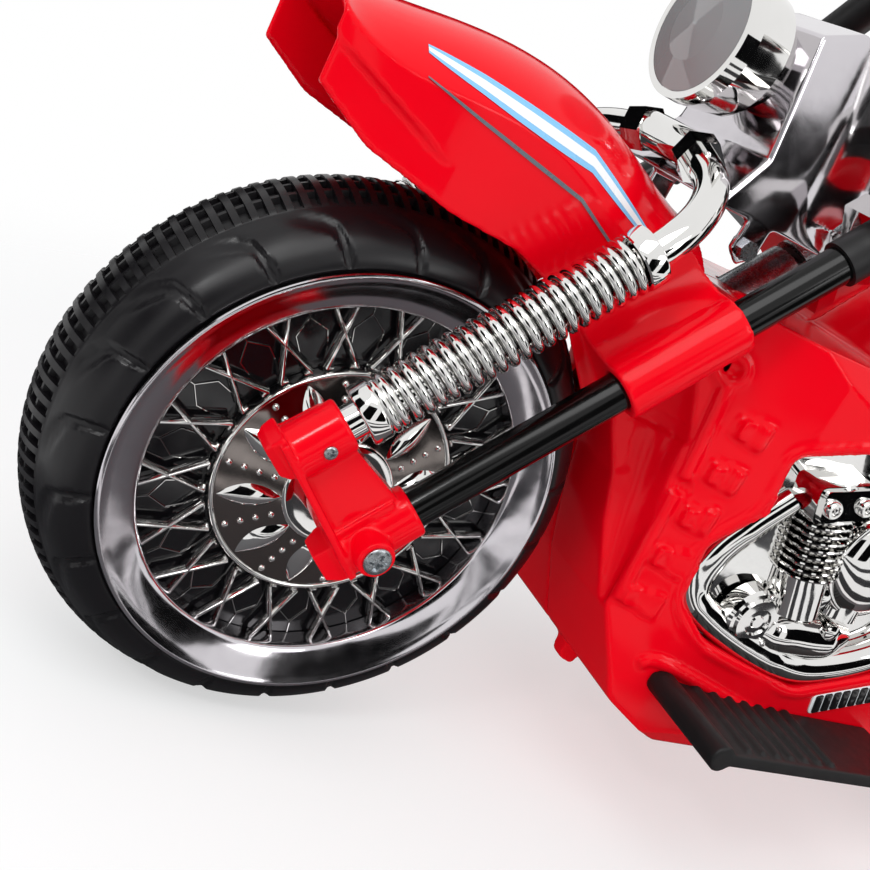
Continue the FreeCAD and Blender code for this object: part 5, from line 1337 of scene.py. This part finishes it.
@dataclass
class Studio:
    """Floor, soft light, dark cards for the chrome, and the camera of the photograph."""

    eye: tuple[float, float, float] = (306.0, 570.5, 248.0)
    right: tuple[float, float, float] = (-0.8143, 0.3641, 0.451)
    up: tuple[float, float, float] = (0.2498, -0.4815, 0.8396)
    lens: float = 48.84

    def camera(self) -> None:
        """Place the camera where the photograph was taken."""
        data = bpy.data.cameras.new("camera")
        data.lens = self.lens
        data.sensor_width = 36.0
        data.clip_start = 0.01
        cam = bpy.data.objects.new("camera", data)
        right = Vector(self.right).normalized()
        up = Vector(self.up)
        up = (up - right * up.dot(right)).normalized()
        back = right.cross(up)
        cam.matrix_world = Matrix.Translation(Vector((AXLE + np.array(self.eye)) * MM)) @ Matrix(
            (right, up, back)).transposed().to_4x4()
        bpy.context.scene.collection.objects.link(cam)
        bpy.context.scene.camera = cam

    def lamp(self, name: str, place: Sequence, aim: Sequence, size: float, power: float) -> None:
        """Add a soft area lamp.

        Args:
            name: Name of the lamp.
            place: World place in metres.
            aim: World point that it faces.
            size: Side of the square lamp in metres.
            power: Watts.
        """
        data = bpy.data.lights.new(name, "AREA")
        data.shape = "SQUARE"
        data.size = size
        data.energy = power
        face(bpy.data.objects.new(name, data), place, aim)

    def card(self, name: str, place: Sequence, aim: Sequence, wide: float, high: float,
             tone: str = "0A0A0B") -> None:
        """Add a dark card that only shiny surfaces see.

        Args:
            name: Name of the card.
            place: World place in metres.
            aim: World point that it faces.
            wide: Width in metres.
            high: Height in metres.
            tone: Colour of the card.
        """
        obj = sheet(name, wide, high)
        face(obj, place, aim)
        made, tree = new_material(name)
        dark = add_node(tree, "ShaderNodeBsdfDiffuse", {"Color": linear(tone)})
        add_node(tree, "ShaderNodeOutputMaterial", links={"Surface": (dark, "BSDF")})
        obj.data.materials.append(made)
        obj.visible_camera = obj.visible_diffuse = obj.visible_shadow = False

    def floor(self) -> None:
        """Lay the pale floor, which fades out to the white world."""
        obj = sheet("floor", 12, 12)
        bpy.context.scene.collection.objects.link(obj)
        made, tree = new_material("white_studio_floor")
        place = (add_node(tree, "ShaderNodeTexCoord"), "Object")
        cloud = add_node(tree, "ShaderNodeTexNoise", {"Scale": 3.0, "Detail": 2.0}, {"Vector": place})
        tone = add_node(tree, "ShaderNodeMixRGB", {"Color1": linear("FAFAFA"), "Color2": linear("FCFCFC")},
                        {"Fac": (cloud, "Fac")})
        shade = add_node(tree, "ShaderNodeBsdfDiffuse", links={"Color": (tone, "Color")})
        far = add_node(tree, "ShaderNodeVectorMath", links={0: place}, operation="LENGTH")
        fade = add_node(tree, "ShaderNodeMapRange", {"From Min": 0.62, "From Max": 1.0},
                        {"Value": (far, "Value")}, interpolation_type="SMOOTHSTEP")
        path = add_node(tree, "ShaderNodeLightPath")
        rays = {0: (path, "Is Camera Ray"), 1: (path, "Is Glossy Ray")}
        seen = add_node(tree, "ShaderNodeMath", links=rays, operation="MAXIMUM")
        share = add_node(tree, "ShaderNodeMath", {1: 0.55}, {0: (seen, "Value")}, operation="MULTIPLY")
        pale = add_node(tree, "ShaderNodeEmission", {"Color": (1, 1, 1, 1), "Strength": 1.0})
        lit = add_node(tree, "ShaderNodeMixShader",
                       links={0: (share, "Value"), 1: (shade, "BSDF"), 2: (pale, "Emission")})
        clear = add_node(tree, "ShaderNodeBsdfTransparent")
        both = add_node(tree, "ShaderNodeMixShader",
                        links={0: (fade, "Result"), 1: (lit, "Shader"), 2: (clear, "BSDF")})
        add_node(tree, "ShaderNodeOutputMaterial", links={"Surface": (both, "Shader")})
        obj.data.materials.append(made)

    def world(self) -> None:
        """Set an even pale world that camera, mirror and glass see as white."""
        world = bpy.data.worlds.new("studio")
        bpy.context.scene.world = world
        world.use_nodes = True
        tree = world.node_tree
        tree.nodes.clear()
        glow = add_node(tree, "ShaderNodeBackground", {"Color": linear("F4F6F8"), "Strength": 0.78})
        white = add_node(tree, "ShaderNodeBackground", {"Color": (1, 1, 1, 1), "Strength": 1.0})
        path = add_node(tree, "ShaderNodeLightPath")
        seen = (path, "Is Camera Ray")
        for ray in ("Is Glossy Ray", "Is Transmission Ray"):
            seen = (add_node(tree, "ShaderNodeMath", links={0: seen, 1: (path, ray)}, operation="MAXIMUM"),
                    "Value")
        both = add_node(tree, "ShaderNodeMixShader",
                        links={0: seen, 1: (glow, "Background"), 2: (white, "Background")})
        add_node(tree, "ShaderNodeOutputWorld", links={"Surface": (both, "Shader")})

    def build(self) -> None:
        """Set up the stage, the light and the camera."""
        bpy.context.scene.view_settings.view_transform = "Standard"
        self.floor()
        self.world()
        aim = tuple(AXLE * MM)
        self.lamp("key", (1.2, 0.9, 2.0), aim, 1.2, 15)
        self.lamp("fill", (-0.6, 2.2, 1.3), aim, 0.9, 9)
        self.lamp("strip", (1.78, 0.89, 1.32), aim, 0.26, 7)
        # Painted shade: the grey card under the bike, seen only by shiny surfaces, darkens the floor there
        # as if in the bike's shadow.
        self.card("under_card", (0.1, -0.2, 0.002), (0.1, -0.2, 1.0), 1.1, 0.95, "6A6A6C")
        for number in range(9):
            turn = math.radians(10 + 40 * number)
            place = (2.0 * math.cos(turn), 2.0 * math.sin(turn), 0.6)
            self.card(f"card_{number}", place, (0.0, 0.0, 0.6), 0.95, 1.2)
        for number, reach in enumerate((0.36, 0.62, 0.95)):
            for side in Side:
                self.card(f"floor_card_{number}_{side.word}", (0.1, side.value * reach, 0.003),
                          (0.1, side.value * reach, 1.0), 1.7, 0.1 + 0.04 * number, "3A3A3C")
        self.camera()


NODE_FINISHES = {
    RED_ABS: "body_left body_right front_fender rear_fenders fork_brackets",
    TYRE_HDPE: "rear_tyre_left rear_tyre_right front_tyre",
    CHROME: "front_wheel_trim_left front_wheel_trim_right rear_wheel_trim_left rear_wheel_trim_right "
            "spring_rods fork_spring_left fork_spring_right spring_bridge steering_cowl headlight_shell "
            "handlebar engine_fronts spring_collars lower_yoke upper_yoke",
    BLACK_LACQUER: "fork_tubes",
    BLACK_PP: "fork_collars footboard_left footboard_right seat side_vents grips bar_clamp control_console "
              "throttle_pedal pedal_bracket switch_bezel direction_switch power_switch horn_button "
              "sound_button charge_socket axle_caps",
    ZINC_STEEL: "front_axle axle_nut bracket_screws steering_stem stem_nut head_tube tab_bolts rear_axle "
                "body_screws",
    CLEAR_PC: "headlight_lens",
    TAIL_PMMA: "tail_lights",
    GREY_PP: "front_wheel_bushes axle_spacers head_bushes rear_spacer gearbox motor battery drive_sleeve",
}


def dress_nodes() -> None:
    """Give every solid of the frame its finish."""
    for finish, names in NODE_FINISHES.items():
        for name in names.split():
            obj = frame["nodes"][name]
            obj.data.materials.clear()
            obj.data.materials.append(finish.material())
            obj.data.set_sharp_from_angle(angle=math.radians(35))


def main() -> None:
    """Build the bike's looks in order."""
    dress_nodes()
    for part in (Studio(), FrontWheel(), SpringerFork(), BodyShell(), EngineFront(), FenderStripes(),
                 SideVents(), RearWheels()) + MOULDINGS:
        LOG.info("building %s", type(part).__name__)
        part.build()


if __name__ == "__main__":
    main()
